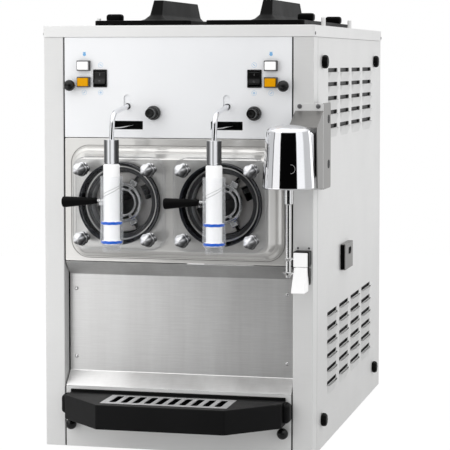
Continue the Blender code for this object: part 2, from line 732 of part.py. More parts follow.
def drip_drawer():
    plate = box((SIDE + GAP, DRAWER_FRONT, DRAWER_BOTTOM),
                (SIDE + 0.0095, DRAWER_BACK, DRAWER_TOP), 0.001)
    low = (-0.02, DRAWER_FRONT + 0.004, DRAWER_BOTTOM + 0.004)
    high = (SIDE + 0.002, DRAWER_BACK - 0.004, DRAWER_TOP - 0.006)
    body = box(low, high)
    inside = box((low[0] + SHEET, low[1] + SHEET, low[2] + SHEET),
                 (SIDE - SHEET, high[1] - SHEET, high[2] + 0.01))
    pull = around((FRONT + 0.326, 0.333), 0.0165, 0.0065, 0.0064, 4)
    hole = outline_prism(pull, "X", SIDE + 0.0035, SIDE + 0.02)
    part("drip_drawer", cut(join(body, plate), inside, hole), STAINLESS, (SIDE, 0, 0))


# ---------------------------------------------------------------- hoppers

def hoppers():
    for side, sign in sides():
        x = sign * HOPPER_OFFSET
        outer = rounded((x - HOPPER_HALF_WIDTH, HOPPER_FRONT), (x + HOPPER_HALF_WIDTH, HOPPER_BACK),
                        0.020)
        rim = rounded((x - 0.0855, HOPPER_FRONT - 0.008), (x + 0.0855, HOPPER_BACK + 0.008), 0.026)
        inner = rounded((x - HOPPER_HALF_WIDTH + HOPPER_WALL, HOPPER_FRONT + HOPPER_WALL),
                        (x + HOPPER_HALF_WIDTH - HOPPER_WALL, HOPPER_BACK - HOPPER_WALL), 0.0185)
        rim_bottom = CAP_TOP + GAP
        basin = join(outline_prism(outer, "Z", HOPPER_FLOOR, rim_bottom + 0.0007),
                     outline_prism(rim, "Z", rim_bottom, rim_bottom + 0.0014))
        spigot_bottom = DOOR_Z + CYLINDER_RADIUS + 0.0006
        spigot = rod((x_of_head(sign), FEED_Y, spigot_bottom),
                     (x_of_head(sign), FEED_Y, HOPPER_FLOOR + 0.0007), 0.012, 14)
        basin = cut(join(basin, spigot),
                    outline_prism(inner, "Z", HOPPER_FLOOR + HOPPER_WALL, CAP_TOP + 0.02))
        drain = rod((x_of_head(sign), FEED_Y, spigot_bottom - 0.01),
                    (x_of_head(sign), FEED_Y, HOPPER_FLOOR + 0.01), 0.009, 14)
        part(f"hopper_{side}", cut(basin, drain), STAINLESS)


def x_of_head(sign):
    return sign * HEAD_OFFSET


def hopper_lids():
    for side, sign in sides():
        low, high = mirrored(sign, 0.0145, 0.1985)
        middle = (low + high) / 2
        plate = outline_prism(rounded((low, FRONT + 0.146), (high, FRONT + 0.640), 0.012), "Z",
                              LID_BOTTOM, LID_TOP)
        levels = [
            # height, half width, front, back, corner
            (LID_TOP - 0.001, 0.036, 0.222, 0.563, 0.020),
            (LID_TOP + 0.004, 0.020, 0.238, 0.547, 0.016),
            (LID_TOP + 0.014, 0.0135, 0.252, 0.537, 0.013),
            (0.802, 0.0122, 0.270, 0.523, 0.012),
            (0.808, 0.0080, 0.276, 0.517, 0.0078),
        ]
        ridge = loft([[(x, y, z) for x, y in rounded((middle - half, FRONT + start),
                                                     (middle + half, FRONT + end), corner)]
                      for z, half, start, end, corner in levels])
        latch_x = mirrored(sign, 0.1695, 0.2005)
        latches = [box((latch_x[0], FRONT + y - 0.010, LID_TOP - 0.001),
                       (latch_x[1], FRONT + y + 0.010, 0.782), 0.003, 2)
                   for y in (0.240, 0.528)]
        part(f"hopper_lid_{side}", join(plate, ridge, grouped(latches)), BLACK)


# ---------------------------------------------------------------- drink spinner and cup switch

def spinner_bracket():
    plate_back, plate_front = FRONT - GAP, FRONT - GAP - SHEET
    bottom, top = 0.471, 0.6205
    plate = box((BRACKET_LEFT, plate_front, bottom), (BRACKET_RIGHT, plate_back, top))
    flange = box((BRACKET_RIGHT - SHEET, plate_front, bottom), (BRACKET_RIGHT, FRONT + 0.070, top))
    hood_profile = [(plate_front + 0.001, 0.608), (FRONT - 0.060, 0.581),
                    (FRONT - 0.060, 0.581 - SHEET), (plate_front + 0.001, 0.608 - SHEET)]
    hood = outline_prism(hood_profile, "X", BRACKET_LEFT, BRACKET_RIGHT)
    wall_profile = [(plate_front + 0.001, 0.607), (FRONT - 0.060, 0.580),
                    (FRONT - 0.052, 0.4765), (plate_front + 0.001, 0.472)]
    wall = outline_prism(wall_profile, "X", BRACKET_RIGHT - SHEET, BRACKET_RIGHT)
    spacers = [rod((SIDE + GAP, FRONT + 0.045, z), (BRACKET_RIGHT - SHEET / 2, FRONT + 0.045, z),
                   0.006, 12) for z in (0.500, 0.590)]
    holes = [outline_prism(around((FRONT + 0.020, z), 0.0045, 0.008, 0.0044), "X",
                           BRACKET_RIGHT - 0.01, BRACKET_RIGHT + 0.01) for z in (0.513, 0.592)]
    bracket = join(plate, flange, hood, wall, grouped(spacers))
    part("spinner_bracket", cut(bracket, grouped(holes)), STAINLESS)


def spinner_housing():
    y = FRONT - SPINNER_REACH
    profile = [(0, 0.5865), (0.020, 0.5850), (0.0335, 0.5800), (0.0375, 0.5755),
               (0.0440, 0.4845), (0.0440, 0.4805), (0.0425, SPINNER_BOTTOM), (0, SPINNER_BOTTOM)]
    housing = turned(profile, (SPINNER_X, y, 0), UP, 24)
    arm = box((BRACKET_LEFT + 0.002, y + 0.020, 0.492), (BRACKET_RIGHT - 0.004, FRONT - 0.003, 0.574))
    bearing = rod((SPINNER_X, y, 0.46), (SPINNER_X, y, SPINNER_BOTTOM + 0.025), 0.0055, 12)
    part("spinner_housing", cut(join(housing, arm), bearing), CHROME)


def spinner_spindle():
    collar_top = SPINNER_BOTTOM - GAP
    profile = [(0, 0.4985), (0.0045, 0.4985), (0.0045, collar_top), (0.0075, collar_top),
               (0.0075, 0.4530), (0.0045, 0.4520),
               (0.0045, 0.3605), (0.0095, 0.3615), (0.0095, 0.3600), (0.0045, 0.3565),
               (0.0045, 0.3360), (0.0100, 0.3375), (0.0100, 0.3360), (0.0045, 0.3320),
               (0.0035, 0.3280), (0, 0.3280)]
    at = (SPINNER_X, FRONT - SPINNER_REACH, 0)
    shape = turned(profile, at, UP, 12)
    part("spinner_spindle", shape, STAINLESS, (at[0], at[1], 0.4))


FLAP_PIVOT = (CUP_SWITCH_X, FRONT - 0.026, 0.336)


def cup_switch():
    half = 0.0135
    body = box((CUP_SWITCH_X - half, FRONT - 0.030, 0.3395), (CUP_SWITCH_X + half, FRONT - GAP, 0.365),
               0.001)
    ears = [box((CUP_SWITCH_X + sign * 0.0127 - 0.0008, FRONT - 0.029, 0.331),
                (CUP_SWITCH_X + sign * 0.0127 + 0.0008, FRONT - 0.018, 0.342)) for _, sign in sides()]
    part("cup_switch_box", join(body, grouped(ears)), BLACK)

    outline = [(FRONT - 0.0300, 0.3375), (FRONT - 0.0575, 0.2970), (FRONT - 0.0555, 0.2955),
               (FRONT - 0.0185, 0.2960), (FRONT - 0.0180, 0.3345), (FRONT - 0.0220, 0.3370)]
    flap = outline_prism(outline, "X", CUP_SWITCH_X - 0.0115, CUP_SWITCH_X + 0.0115)
    part("cup_flap", flap, WHITE, FLAP_PIVOT)


# ---------------------------------------------------------------- machinery inside

def gear_motors():
    for side, sign in sides():
        x = sign * HEAD_OFFSET
        gearbox = box((x - 0.045, FRONT + 0.425, DOOR_Z - 0.050), (x + 0.045, FRONT + 0.500, DOOR_Z + 0.050),
                      0.004)
        motor = turned([(0, 0.640), (0.034, 0.640), (0.040, 0.632), (0.040, 0.495), (0, 0.495)],
                       (x, FRONT, DOOR_Z), BACKWARD, 20)
        bore = rod((x, FRONT + 0.41, DOOR_Z), (x, FRONT + 0.450, DOOR_Z), 0.0088, 14)
        part(f"gear_motor_{side}", cut(join(gearbox, motor), bore), IRON)


def compressor():
    profile = [(0, 0.205), (0.045, 0.200), (0.070, 0.180), (0.078, 0.150), (0.078, 0.070),
               (0.070, 0.040), (0.050, 0.028), (0.050, SHEET + GAP), (0, SHEET + GAP)]
    part("compressor", turned(profile, (-0.130, FRONT + 0.600, 0), UP, 20), IRON)


def condenser_and_fan():
    core = box((0.010, FRONT + 0.700, 0.030), (0.225, FRONT + 0.742, 0.285))
    foot = box((0.020, FRONT + 0.705, SHEET + GAP), (0.215, FRONT + 0.737, 0.031))
    part("condenser", join(core, foot), ALUMINIUM)

    axis = (FAN_X, FRONT, FAN_Z)
    motor = turned([(0, 0.655), (0.030, 0.655), (0.035, 0.650), (0.035, 0.590), (0, 0.590)], axis,
                   BACKWARD, 18)
    stand = box((FAN_X - 0.020, FRONT + 0.600, SHEET + GAP), (FAN_X + 0.020, FRONT + 0.640, FAN_Z))
    shaft_hole = rod((FAN_X, FRONT + 0.640, FAN_Z), (FAN_X, FRONT + 0.670, FAN_Z), 0.0046, 12)
    part("fan_motor", cut(join(motor, stand), shaft_hole), IRON)

    hub = turned([(0, 0.688), (0.020, 0.686), (0.022, 0.668), (0.004, 0.668), (0.004, 0.645),
                  (0, 0.645)], axis, BACKWARD, 16)
    blades = []
    for index in range(5):
        blade = box((-0.022, -0.001, 0.016), (0.022, 0.001, 0.092))
        blade.data.transform(Matrix.Translation((FAN_X, FRONT + 0.678, FAN_Z))
                             @ Matrix.Rotation(radians(72 * index), 4, "Y")
                             @ Matrix.Rotation(radians(20), 4, "Z"))
        blades.append(blade)
    part("condenser_fan", join(hub, *blades), ALUMINIUM, (FAN_X, FRONT + 0.678, FAN_Z))


base_pan()
front_posts()
top_cap()
side_panels()
rear_panel()
power_inlet()
control_panel()
rockers()
buttons()
consistency_knobs()
freezer_front_panel()
freezing_cylinders()
door_gaskets()
doors()
door_nuts()
beaters()
valve_pistons()
draw_handles()
draw_rods()
splash_panel()
lower_front_panel()
drip_tray()
drip_grille()
drip_drawer()
hoppers()
hopper_lids()
spinner_bracket()
spinner_housing()
spinner_spindle()
cup_switch()
gear_motors()
compressor()
condenser_and_fan()
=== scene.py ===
"""A two-head countertop soft serve machine with a drink spinner, in a plain white studio.

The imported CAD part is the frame. Plain folded sheets keep their CAD shape and only get a finish.
Everything pressed, turned, moulded or clear is rebuilt here in finer detail and rides on the same
body as the node that it stands for. All lengths are metres, in the part's own frame: +Z up, the
front faces -Y and the floor is at Z = 0.
"""

import json
from math import atan2, cos, hypot, pi, radians, sin

import bmesh
import bpy
from mathutils import Matrix, Vector


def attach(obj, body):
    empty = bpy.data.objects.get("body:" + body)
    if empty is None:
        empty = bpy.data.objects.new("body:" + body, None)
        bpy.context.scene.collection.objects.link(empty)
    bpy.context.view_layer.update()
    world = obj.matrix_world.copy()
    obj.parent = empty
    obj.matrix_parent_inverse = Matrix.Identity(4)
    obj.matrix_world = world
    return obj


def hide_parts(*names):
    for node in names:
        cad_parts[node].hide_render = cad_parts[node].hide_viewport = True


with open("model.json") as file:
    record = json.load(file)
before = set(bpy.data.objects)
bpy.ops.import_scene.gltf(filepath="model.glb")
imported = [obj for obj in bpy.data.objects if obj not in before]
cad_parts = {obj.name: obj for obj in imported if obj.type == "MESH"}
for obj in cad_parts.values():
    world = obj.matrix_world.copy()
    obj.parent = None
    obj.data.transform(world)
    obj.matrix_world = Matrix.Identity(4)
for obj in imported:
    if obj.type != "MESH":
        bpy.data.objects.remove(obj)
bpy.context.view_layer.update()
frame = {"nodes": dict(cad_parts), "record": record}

# The casing
FRONT, BACK, SIDE = -0.38, 0.38, 0.245
SHEET = 0.002
PANEL_HALF = 0.2066
CAP_BOTTOM, CAP_TOP = 0.7355, 0.756
CONTROL_BOTTOM, CONTROL_TOP = 0.5578, 0.7352
FREEZER_BOTTOM = 0.3355

# The heads
HEAD_OFFSET = 0.091
HEAD_Z = 0.445
VALVE_REACH = 0.095
VALVE_Y = FRONT - VALVE_REACH
HANDLE_Z = 0.4538
PISTON_TOP = 0.5162
BARREL_TOP = 0.4955
BARREL_RADIUS = 0.0196
SPOUT_BOTTOM = 0.365
SEAL_HEIGHTS = (0.3815, 0.4146)
HANDLE_DROOP = radians(3)
NUT_HALF_PITCH = 0.0605

# Controls on each half of the control panel
ROCKER_X, ROCKER_Z, ROCKER_TILT = 0.1403, 0.6625, radians(-8)
BUTTON_X, WHITE_Z, ORANGE_Z = 0.17, 0.685, 0.656
KNOB_OFFSET, KNOB_Z = 0.0495, 0.602
SLOT_X, SLOT_Z = 0.0905, 0.62075
WINDOW_Z = 0.58

# The spinner and cup switch on the right post
SPINNER_X, SPINNER_Y = 0.221, FRONT - 0.1
CUP_SWITCH_X = 0.2285

SIDES = (("left", -1), ("right", 1))
UP, FORWARD, BACKWARD = Vector((0, 0, 1)), Vector((0, -1, 0)), Vector((0, 1, 0))


def on_both_sides(build):
    """Let a function of a side and its sign along X run for the left and then for the right."""
    def both():
        for side, sign in SIDES:
            build(side, sign)

    return both


def head(sign, right=0.0, up=0.0):
    """A point on the front's plane, from the middle of the left or right head."""
    return sign * HEAD_OFFSET + right, FRONT, HEAD_Z + up


# -------------------- shapes
# A shape is a pair: a list of points and a list of faces, in world coordinates.

def soften(points, radius, steps=4, closed=False):
    """Round the corners of a line of points of any dimension."""
    points = [Vector(p) for p in points]
    count = len(points)
    rounded = []
    for index, corner in enumerate(points):
        if not closed and index in (0, count - 1):
            rounded.append(corner)
            continue
        before, after = points[index - 1], points[(index + 1) % count]
        back, ahead = before - corner, after - corner
        reach = min(radius, back.length * 0.48, ahead.length * 0.48)
        start, end = corner + back.normalized() * reach, corner + ahead.normalized() * reach
        for step in range(steps + 1):
            t = step / steps
            rounded.append(start * (1 - t) ** 2 + corner * 2 * t * (1 - t) + end * t ** 2)
    return rounded


def joined(*shapes):
    points, faces = [], []
    for more_points, more_faces in shapes:
        shift = len(points)
        points += more_points
        faces += [tuple(i + shift for i in face) for face in more_faces]
    return points, faces


def moved(shape, matrix):
    points, faces = shape
    return [matrix @ Vector(p) for p in points], faces


def loft(loops, closed=False, cap=True):
    """A skin over loops of the same number of points. Closed joins the last loop to the first."""
    size = len(loops[0])
    points = [Vector(p) for loop in loops for p in loop]
    faces = []
    for row in range(len(loops) if closed else len(loops) - 1):
        here, there = row * size, (row + 1) % len(loops) * size
        for i in range(size):
            j = (i + 1) % size
            faces.append((here + i, here + j, there + j, there + i))
    if cap and not closed:
        last = (len(loops) - 1) * size
        faces.append(tuple(range(size))[::-1])
        faces.append(tuple(last + i for i in range(size)))
    return points, faces


def turned(profile, centre, axis=UP, soft=0.0006, segments=72, ring=False, lobes=0, depth=0.0):
    """Turn a line of (radius, height) about an axis. Lobes scallop the outside by depth."""
    line = soften(profile, soft, closed=ring)
    spin = Vector(axis).to_track_quat("Z", "Y").to_matrix().to_4x4()
    place = Matrix.Translation(centre) @ spin
    loops = []
    for radius, height in line:
        loop = []
        for step in range(segments):
            angle = 2 * pi * step / segments
            r = max(radius, 1e-6)
            if lobes:
                r -= depth * min(1, radius / 0.01) * (0.5 - 0.5 * cos(lobes * angle)) ** 1.5
            loop.append(place @ Vector((r * cos(angle), r * sin(angle), height)))
        loops.append(loop)
    return loft(loops, closed=ring)


def tube(path, radius, segments=20):
    """A round bar along a line of points. The radius may be one for each point."""
    path = [Vector(p) for p in path]
    radii = radius if isinstance(radius, (list, tuple)) else [radius] * len(path)
    ahead = (path[1] - path[0]).normalized()
    across = ahead.orthogonal().normalized()
    loops = []
    for index, centre in enumerate(path):
        before, after = path[max(index - 1, 0)], path[min(index + 1, len(path) - 1)]
        direction = (after - before).normalized()
        across = (across - direction * across.dot(direction)).normalized()
        other = direction.cross(across)
        loops.append([centre + (across * cos(a) + other * sin(a)) * radii[index]
                      for a in (2 * pi * i / segments for i in range(segments))])
    return loft(loops)


def box_outline(middle, half_width, half_height, radius=0.0, steps=8):
    u, v = middle
    corners = [(u + half_width, v - half_height), (u + half_width, v + half_height),
               (u - half_width, v + half_height), (u - half_width, v - half_height)]
    if not radius:
        return corners
    outline = []
    quarter = ((1, -1, -90), (1, 1, 0), (-1, 1, 90), (-1, -1, 180))
    for right, top, start in quarter:
        centre = (u + right * (half_width - radius), v + top * (half_height - radius))
        for step in range(steps + 1):
            angle = radians(start + 90 * step / steps)
            outline.append((centre[0] + radius * cos(angle), centre[1] + radius * sin(angle)))
    return outline


def circle_outline(middle, radius, steps=64):
    return [(middle[0] + radius * cos(2 * pi * i / steps), middle[1] + radius * sin(2 * pi * i / steps))
            for i in range(steps)]


TO_AXIS = {
    "X": lambda u, v, w: Vector((w, u, v)),
    "Y": lambda u, v, w: Vector((u, w, v)),
    "Z": lambda u, v, w: Vector((u, v, w)),
}


def plate(outline, holes, axis, low, high, edge=0.0003, resolution=2):
    """A flat plate across an axis, with holes and softly rounded edges."""
    curve = bpy.data.curves.new("outline", "CURVE")
    curve.dimensions = "2D"
    curve.fill_mode = "BOTH"
    curve.extrude = (high - low) / 2 - edge
    curve.bevel_depth = edge
    curve.bevel_resolution = resolution
    curve.offset = -edge
    for loop in [outline, *holes]:
        spline = curve.splines.new("POLY")
        spline.points.add(len(loop) - 1)
        for point, (u, v) in zip(spline.points, loop):
            point.co = (u, v, 0, 1)
        spline.use_cyclic_u = True
    holder = bpy.data.objects.new("outline", curve)
    mesh = bpy.data.meshes.new_from_object(holder)
    place = TO_AXIS[axis]
    middle = (low + high) / 2
    points = [place(v.co.x, v.co.y, v.co.z + middle) for v in mesh.vertices]
    faces = [tuple(face.vertices) for face in mesh.polygons]
    bpy.data.objects.remove(holder)
    bpy.data.curves.remove(curve)
    bpy.data.meshes.remove(mesh)
    return points, faces


def front_plate(outline, holes, proud, sunk, edge=0.0003, resolution=2):
    """A plate along the front, from proud of it to sunk behind it."""
    return plate(outline, holes, "Y", FRONT - proud, FRONT + sunk, edge, resolution)


def block(low, high, edge=0.001, steps=3):
    """A box with rounded edges."""
    low, high = Vector(low), Vector(high)
    middle, half = (low + high) / 2, (high - low) / 2
    loops = []
    for step in range(steps + 1):
        angle = radians(90 * step / steps)
        inset, drop = edge * (1 - sin(angle)), edge * (1 - cos(angle))
        loops.append((inset, low.z + drop))
    loops += [(inset, high.z - (z - low.z)) for inset, z in loops[::-1]]
    rings = []
    for inset, z in loops:
        outline = box_outline((middle.x, middle.y), half.x - inset, half.y - inset,
                              max(edge - inset * 0.5, 1e-5), steps)
        rings.append(lying(outline, z))
    return loft(rings)


def standing(outline, y):
    """A 2-D outline across the front, at a depth."""
    return [(u, y, v) for u, v in outline]


def lying(outline, z):
    """A 2-D outline seen from above, at a height."""
    return [(u, v, z) for u, v in outline]


def from_above(loop):
    return [(x, y) for x, y, _ in loop]


def fill(loops, axis, at):
    """A flat sheet across an axis, inside the first 2-D loop and outside the others."""
    bm = bmesh.new()
    edges = []
    for loop in loops:
        made = [bm.verts.new((u, v, 0)) for u, v in loop]
        edges += [bm.edges.new((made[i - 1], made[i])) for i in range(len(made))]
    bmesh.ops.triangle_fill(bm, edges=edges, use_beauty=True, use_dissolve=False)
    bm.verts.index_update()
    points = [TO_AXIS[axis](v.co.x, v.co.y, at) for v in bm.verts]
    faces = [tuple(v.index for v in face.verts) for face in bm.faces]
    bm.free()
    return points, faces


def link(made):
    bpy.context.scene.collection.objects.link(made)


def piece(name, shape, finish, body="chassis", stands_for=(), smooth=35, merge=1e-6):
    """Make an object of a shape, give it a finish and let it ride on a body."""
    mesh = bpy.data.meshes.new(name)
    points, faces = shape
    mesh.from_pydata([tuple(p) for p in points], [], faces)
    bm = bmesh.new()
    bm.from_mesh(mesh)
    bmesh.ops.remove_doubles(bm, verts=bm.verts, dist=merge)
    bmesh.ops.recalc_face_normals(bm, faces=bm.faces)
    bm.to_mesh(mesh)
    bm.free()
    mesh.shade_smooth()
    mesh.set_sharp_from_angle(angle=radians(smooth))
    mesh.materials.append(finish.material)
    made = bpy.data.objects.new(name, mesh)
    link(made)
    flat_faces = made.modifiers.new("flat_faces", "WEIGHTED_NORMAL")
    flat_faces.keep_sharp = True
    flat_faces.weight = 100
    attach(made, body)
    if stands_for:
        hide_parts(*([stands_for] if isinstance(stands_for, str) else stands_for))
    return made


# -------------------- finishes

class Nodes:
    """Adds shader nodes to a tree and links their inputs."""

    def __init__(self, tree):
        self.tree = tree
        tree.nodes.clear()

    def add(self, kind, inputs=None, **settings):
        node = self.tree.nodes.new("ShaderNode" + kind)
        for name, value in settings.items():
            setattr(node, name, value)
        for name, value in (inputs or {}).items():
            if isinstance(value, bpy.types.NodeSocket):
                self.tree.links.new(value, node.inputs[name])
            else:
                node.inputs[name].default_value = value
        return node

    def noise(self, scale, stretch=(1, 1, 1), detail=3.0):
        coordinates = self.add("TexCoord").outputs["Object"]
        vector = self.add("Mapping", {"Vector": coordinates, "Scale": stretch}).outputs[0]
        return self.add("TexNoise", {"Vector": vector, "Scale": scale, "Detail": detail,
                                     "Roughness": 0.6}).outputs["Fac"]

    def ranged(self, value, low, high, start=0.3, end=0.7):
        return self.add("MapRange", {"Value": value, "From Min": start, "From Max": end,
                                     "To Min": low, "To Max": high}).outputs["Result"]

    def math(self, operation, first, second):
        return self.add("Math", {0: first, 1: second}, operation=operation).outputs[0]

    def blend(self, factor, first, second):
        node = self.add("Mix", data_type="RGBA")
        for index, value in ((0, factor), (6, first), (7, second)):
            if isinstance(value, bpy.types.NodeSocket):
                self.tree.links.new(value, node.inputs[index])
            else:
                node.inputs[index].default_value = value
        return node.outputs[2]

    def grey(self, value):
        return self.add("CombineColor", {0: value, 1: value, 2: value}).outputs[0]

    def ramp(self, value, stops):
        """A colour for a value from 0 to 1. The stops are (place, colour)."""
        node = self.add("ValToRGB", {"Fac": value})
        elements = node.color_ramp.elements
        while len(elements) < len(stops):
            elements.new(0.5)
        for element, (place, colour) in zip(elements, stops):
            element.position = place
            element.color = (*colour, 1)
        return node.outputs["Color"]


class Finish:
    """A procedural material and the record's slot that it belongs to."""

    def __init__(self, slot, name):
        self.slot = slot
        self.material = bpy.data.materials.new(name)
        self.material.use_nodes = True
        self.nodes = Nodes(self.material.node_tree)

    def output(self, shader):
        self.nodes.add("OutputMaterial", {"Surface": shader})


def colour_of(tone):
    """A colour with its alpha. A bare number is a neutral grey."""
    return (*tone, 1) if isinstance(tone, tuple) else (tone, tone, tone, 1)


def surface(slot, name, dark, light, rough, metallic=0.0, grain=900.0, stretch=(1, 1, 1), patch=9.0,
            patch_stretch=(1, 1, 1), bump=0.15, specular=0.5, glow=0.0):
    """An opaque finish between two colours and two roughnesses, patchy at two sizes."""
    made = Finish(slot, name)
    nodes = made.nodes
    patches = nodes.ranged(nodes.noise(patch, patch_stretch), 0, 1)
    grains = nodes.noise(grain, stretch, 2.0)
    mixed = nodes.math("ADD", nodes.math("MULTIPLY", patches, 0.65),
                       nodes.math("MULTIPLY", nodes.ranged(grains, 0, 1), 0.35))
    relief = nodes.add("Bump", {"Height": grains, "Strength": bump, "Distance": 0.0002})
    made.output(nodes.add("BsdfPrincipled", {
        "Base Color": nodes.blend(mixed, colour_of(dark), colour_of(light)), "Metallic": metallic,
        "Roughness": nodes.ranged(mixed, *rough, 0, 1), "Normal": relief.outputs["Normal"],
        "Specular IOR Level": specular, "Emission Color": (1, 1, 1, 1), "Emission Strength": glow,
    }).outputs[0])
    return made


def clear_finish(name, metallic, least, most, power):
    """Clear moulded plastic: see-through face on, milky and shiny at a slant."""
    made = Finish("clear_plastic", name)
    nodes = made.nodes
    waves = nodes.noise(60.0)
    relief = nodes.add("Bump", {"Height": waves, "Strength": 0.12, "Distance": 0.0006})
    normal = relief.outputs["Normal"]
    slant = nodes.add("LayerWeight", {"Blend": 0.3, "Normal": normal}).outputs["Facing"]
    shine = nodes.add("BsdfPrincipled", {
        "Base Color": nodes.blend(waves, (0.82, 0.84, 0.86, 1), (0.94, 0.95, 0.96, 1)),
        "Roughness": nodes.ranged(waves, 0.02, 0.06), "Metallic": metallic, "Normal": normal,
    }).outputs[0]
    gap = nodes.add("BsdfTransparent", {"Color": (0.988, 0.99, 0.993, 1)}).outputs[0]
    weight = nodes.ranged(nodes.math("POWER", slant, power), least, most, 0, 1)
    made.output(nodes.add("MixShader", {0: weight, 1: gap, 2: shine}).outputs[0])
    return made


def metal_with_painted_light(slot, name, direction, tones, rough, metallic, specular):
    """Polished metal with light and shade painted into its colour, set by how its surface is turned to a
    direction.
    """
    made = Finish(slot, name)
    nodes = made.nodes
    normal = nodes.add("TexCoord").outputs["Normal"]
    facing = nodes.add("VectorMath", {0: normal, 1: Vector(direction).normalized()},
                       operation="DOT_PRODUCT").outputs["Value"]
    colour = nodes.ramp(nodes.ranged(facing, 0, 1, -1, 1),
                        [((turn + 1) / 2, (tone, tone * 1.01, tone * 1.04)) for turn, tone in tones])
    grain = nodes.noise(500.0)
    relief = nodes.add("Bump", {"Height": grain, "Strength": 0.03, "Distance": 0.0002})
    made.output(nodes.add("BsdfPrincipled", {
        "Base Color": colour, "Metallic": metallic, "Specular IOR Level": specular,
        "Roughness": nodes.ranged(grain, *rough), "Normal": relief.outputs["Normal"],
    }).outputs[0])
    return made


ACROSS, ALONG = (0.03, 1, 1), (1, 0.03, 1)
STEEL = surface("stainless", "satin_steel", (0.76, 0.76, 0.755), (0.81, 0.81, 0.805), (0.34, 0.44), 0.2,
                stretch=ACROSS, bump=0.08)
CAP_STEEL = surface("stainless", "satin_cap_steel", (0.82, 0.82, 0.815), (0.88, 0.88, 0.875), (0.34, 0.44),
                    0.1, stretch=ACROSS, bump=0.08)
SIDE_STEEL = surface("stainless", "satin_side_steel", (0.74, 0.74, 0.735), (0.8, 0.8, 0.795),
                     (0.44, 0.54), 0.5, stretch=ALONG, bump=0.08)
BRIGHT_STEEL = surface("stainless", "pressed_steel", (0.7, 0.69, 0.67), (0.8, 0.79, 0.77), (0.13, 0.21),
                       0.45, 700, ACROSS, bump=0.08)
# Splash steel with painted reflection streaks: long vertical patches of lighter and darker colour.
SPLASH_STEEL = surface("stainless", "steel_with_painted_reflection_streaks", (0.62, 0.615, 0.61), (0.79, 0.79, 0.785),
                       (0.28, 0.38), 0.9, 900, ACROSS, 26.0, (1, 1, 0.1), bump=0.12)
# Bore steel with painted light and shade: light on the faces turned to +X, near black on the rest.
INNER_STEEL = metal_with_painted_light("stainless", "cylinder_steel", (1, -0.15, 0), (
    (-1.0, 0.03), (0.15, 0.05), (0.55, 0.09), (0.85, 0.42), (1.0, 0.62)), (0.34, 0.5), 0.4, 0.3)
DISC_STEEL = surface("stainless", "beater_steel", (0.34, 0.325, 0.31), (0.58, 0.565, 0.55), (0.36, 0.5),
                     0.85, 500, patch=26.0)
# Darker steel: the drawer's steel, and painted shade on the bracket hood and along the boss creases.
DULL_AND_SHADED_STEEL = surface("stainless", "dull_and_shaded_steel", (0.2, 0.195, 0.19), (0.3, 0.295, 0.285), (0.34, 0.46),
                     0.85, stretch=ACROSS, bump=0.1)
POLISHED = surface("stainless", "polished_steel", 0.62, 0.8, (0.1, 0.18), 1.0, 500, bump=0.03)
PANEL = surface("control_panel", "white_coated_steel", (0.93, 0.94, 0.96), (0.965, 0.975, 0.99),
                (0.3, 0.4), 0.08, 1200, bump=0.05)
CHROME = surface("chrome", "bright_chrome", (0.84, 0.85, 0.87), (0.92, 0.92, 0.94), (0.03, 0.08), 1.0, 500,
                 bump=0.01)
# Nut chrome with a painted highlight on the faces turned up, left and to the front, and painted shade on the
# rest.
NUT_CHROME = metal_with_painted_light("chrome", "nut_chrome", (-0.5, -0.45, 0.72), (
    (-1.0, 0.02), (-0.35, 0.04), (0.1, 0.13), (0.42, 0.5), (0.66, 0.95), (1.0, 1.0)), (0.18, 0.28), 0.3,
    0.5)
# Sleeve chrome with painted reflections: light and dark stripes set by how far each face turns towards +X.
SLEEVE_CHROME = metal_with_painted_light("chrome", "sleeve_chrome", (1, 0, 0), (
    (-1.0, 0.1), (-0.85, 0.24), (-0.7, 0.06), (-0.4, 0.14), (-0.22, 0.6), (-0.1, 0.95), (0.02, 0.6),
    (0.14, 0.25), (0.24, 0.98), (0.52, 1.00), (0.66, 0.08), (1.0, 0.03)), (0.1, 0.18), 0.1, 0.3)
# Cap chrome with a painted highlight on the faces turned up and to the front, shading off to dark on the
# rest.
CAP_CHROME = metal_with_painted_light("chrome", "cap_chrome", (-0.3, -0.6, 0.6), (
    (-1.0, 0.1), (0.0, 0.24), (0.5, 0.42), (0.8, 0.62), (1.0, 0.85)), (0.26, 0.36), 0.25, 0.2)
CLEAR = clear_finish("clear_moulding", 1.0, 0.015, 0.6, 3.0)
CLEAR_BARREL = clear_finish("clear_barrel", 0.0, 0.045, 0.7, 1.6)
# Near black for the dark bands in the clear door's plug walls: painted shade.
PLUG_WALL_SHADE = surface("clear_plastic", "plug_wall_painted_shade", (0.014, 0.015, 0.019), (0.04, 0.043, 0.052), (0.2, 0.32),
                grain=500, bump=0.05, specular=0.3)
PALE_GREY = surface("clear_plastic", "slot_edge", 0.3, 0.46, (0.2, 0.3))
# White moulding with a faint painted glow on top of the light it gets.
WHITE = surface("white_plastic", "white_moulding", 0.94, 0.98, (0.3, 0.42), grain=1500, bump=0.05,
                glow=0.18)
ORANGE = surface("orange_plastic", "orange_lens", (0.74, 0.32, 0.001), (0.88, 0.41, 0.002), (0.2, 0.3),
                 bump=0.05, specular=0.05)
BLACK = surface("black_plastic", "black_moulding", 0.0014, (0.0036, 0.0035, 0.0035), (0.34, 0.5),
                grain=1400, bump=0.3, specular=0.06)
GLOSS_BLACK = surface("black_plastic", "black_gloss", 0.003, 0.008, (0.16, 0.26), bump=0.04, specular=0.3)
TRAY_BLACK = surface("black_plastic", "black_tray", (0.0024, 0.0024, 0.0026), (0.006, 0.006, 0.0064),
                     (0.42, 0.56), grain=1400, bump=0.3, specular=0.14)
DARK_RIM = surface("black_plastic", "grey_rim", (0.1, 0.1, 0.105), (0.2, 0.2, 0.205), (0.25, 0.35), 0.5,
                   bump=0.05)
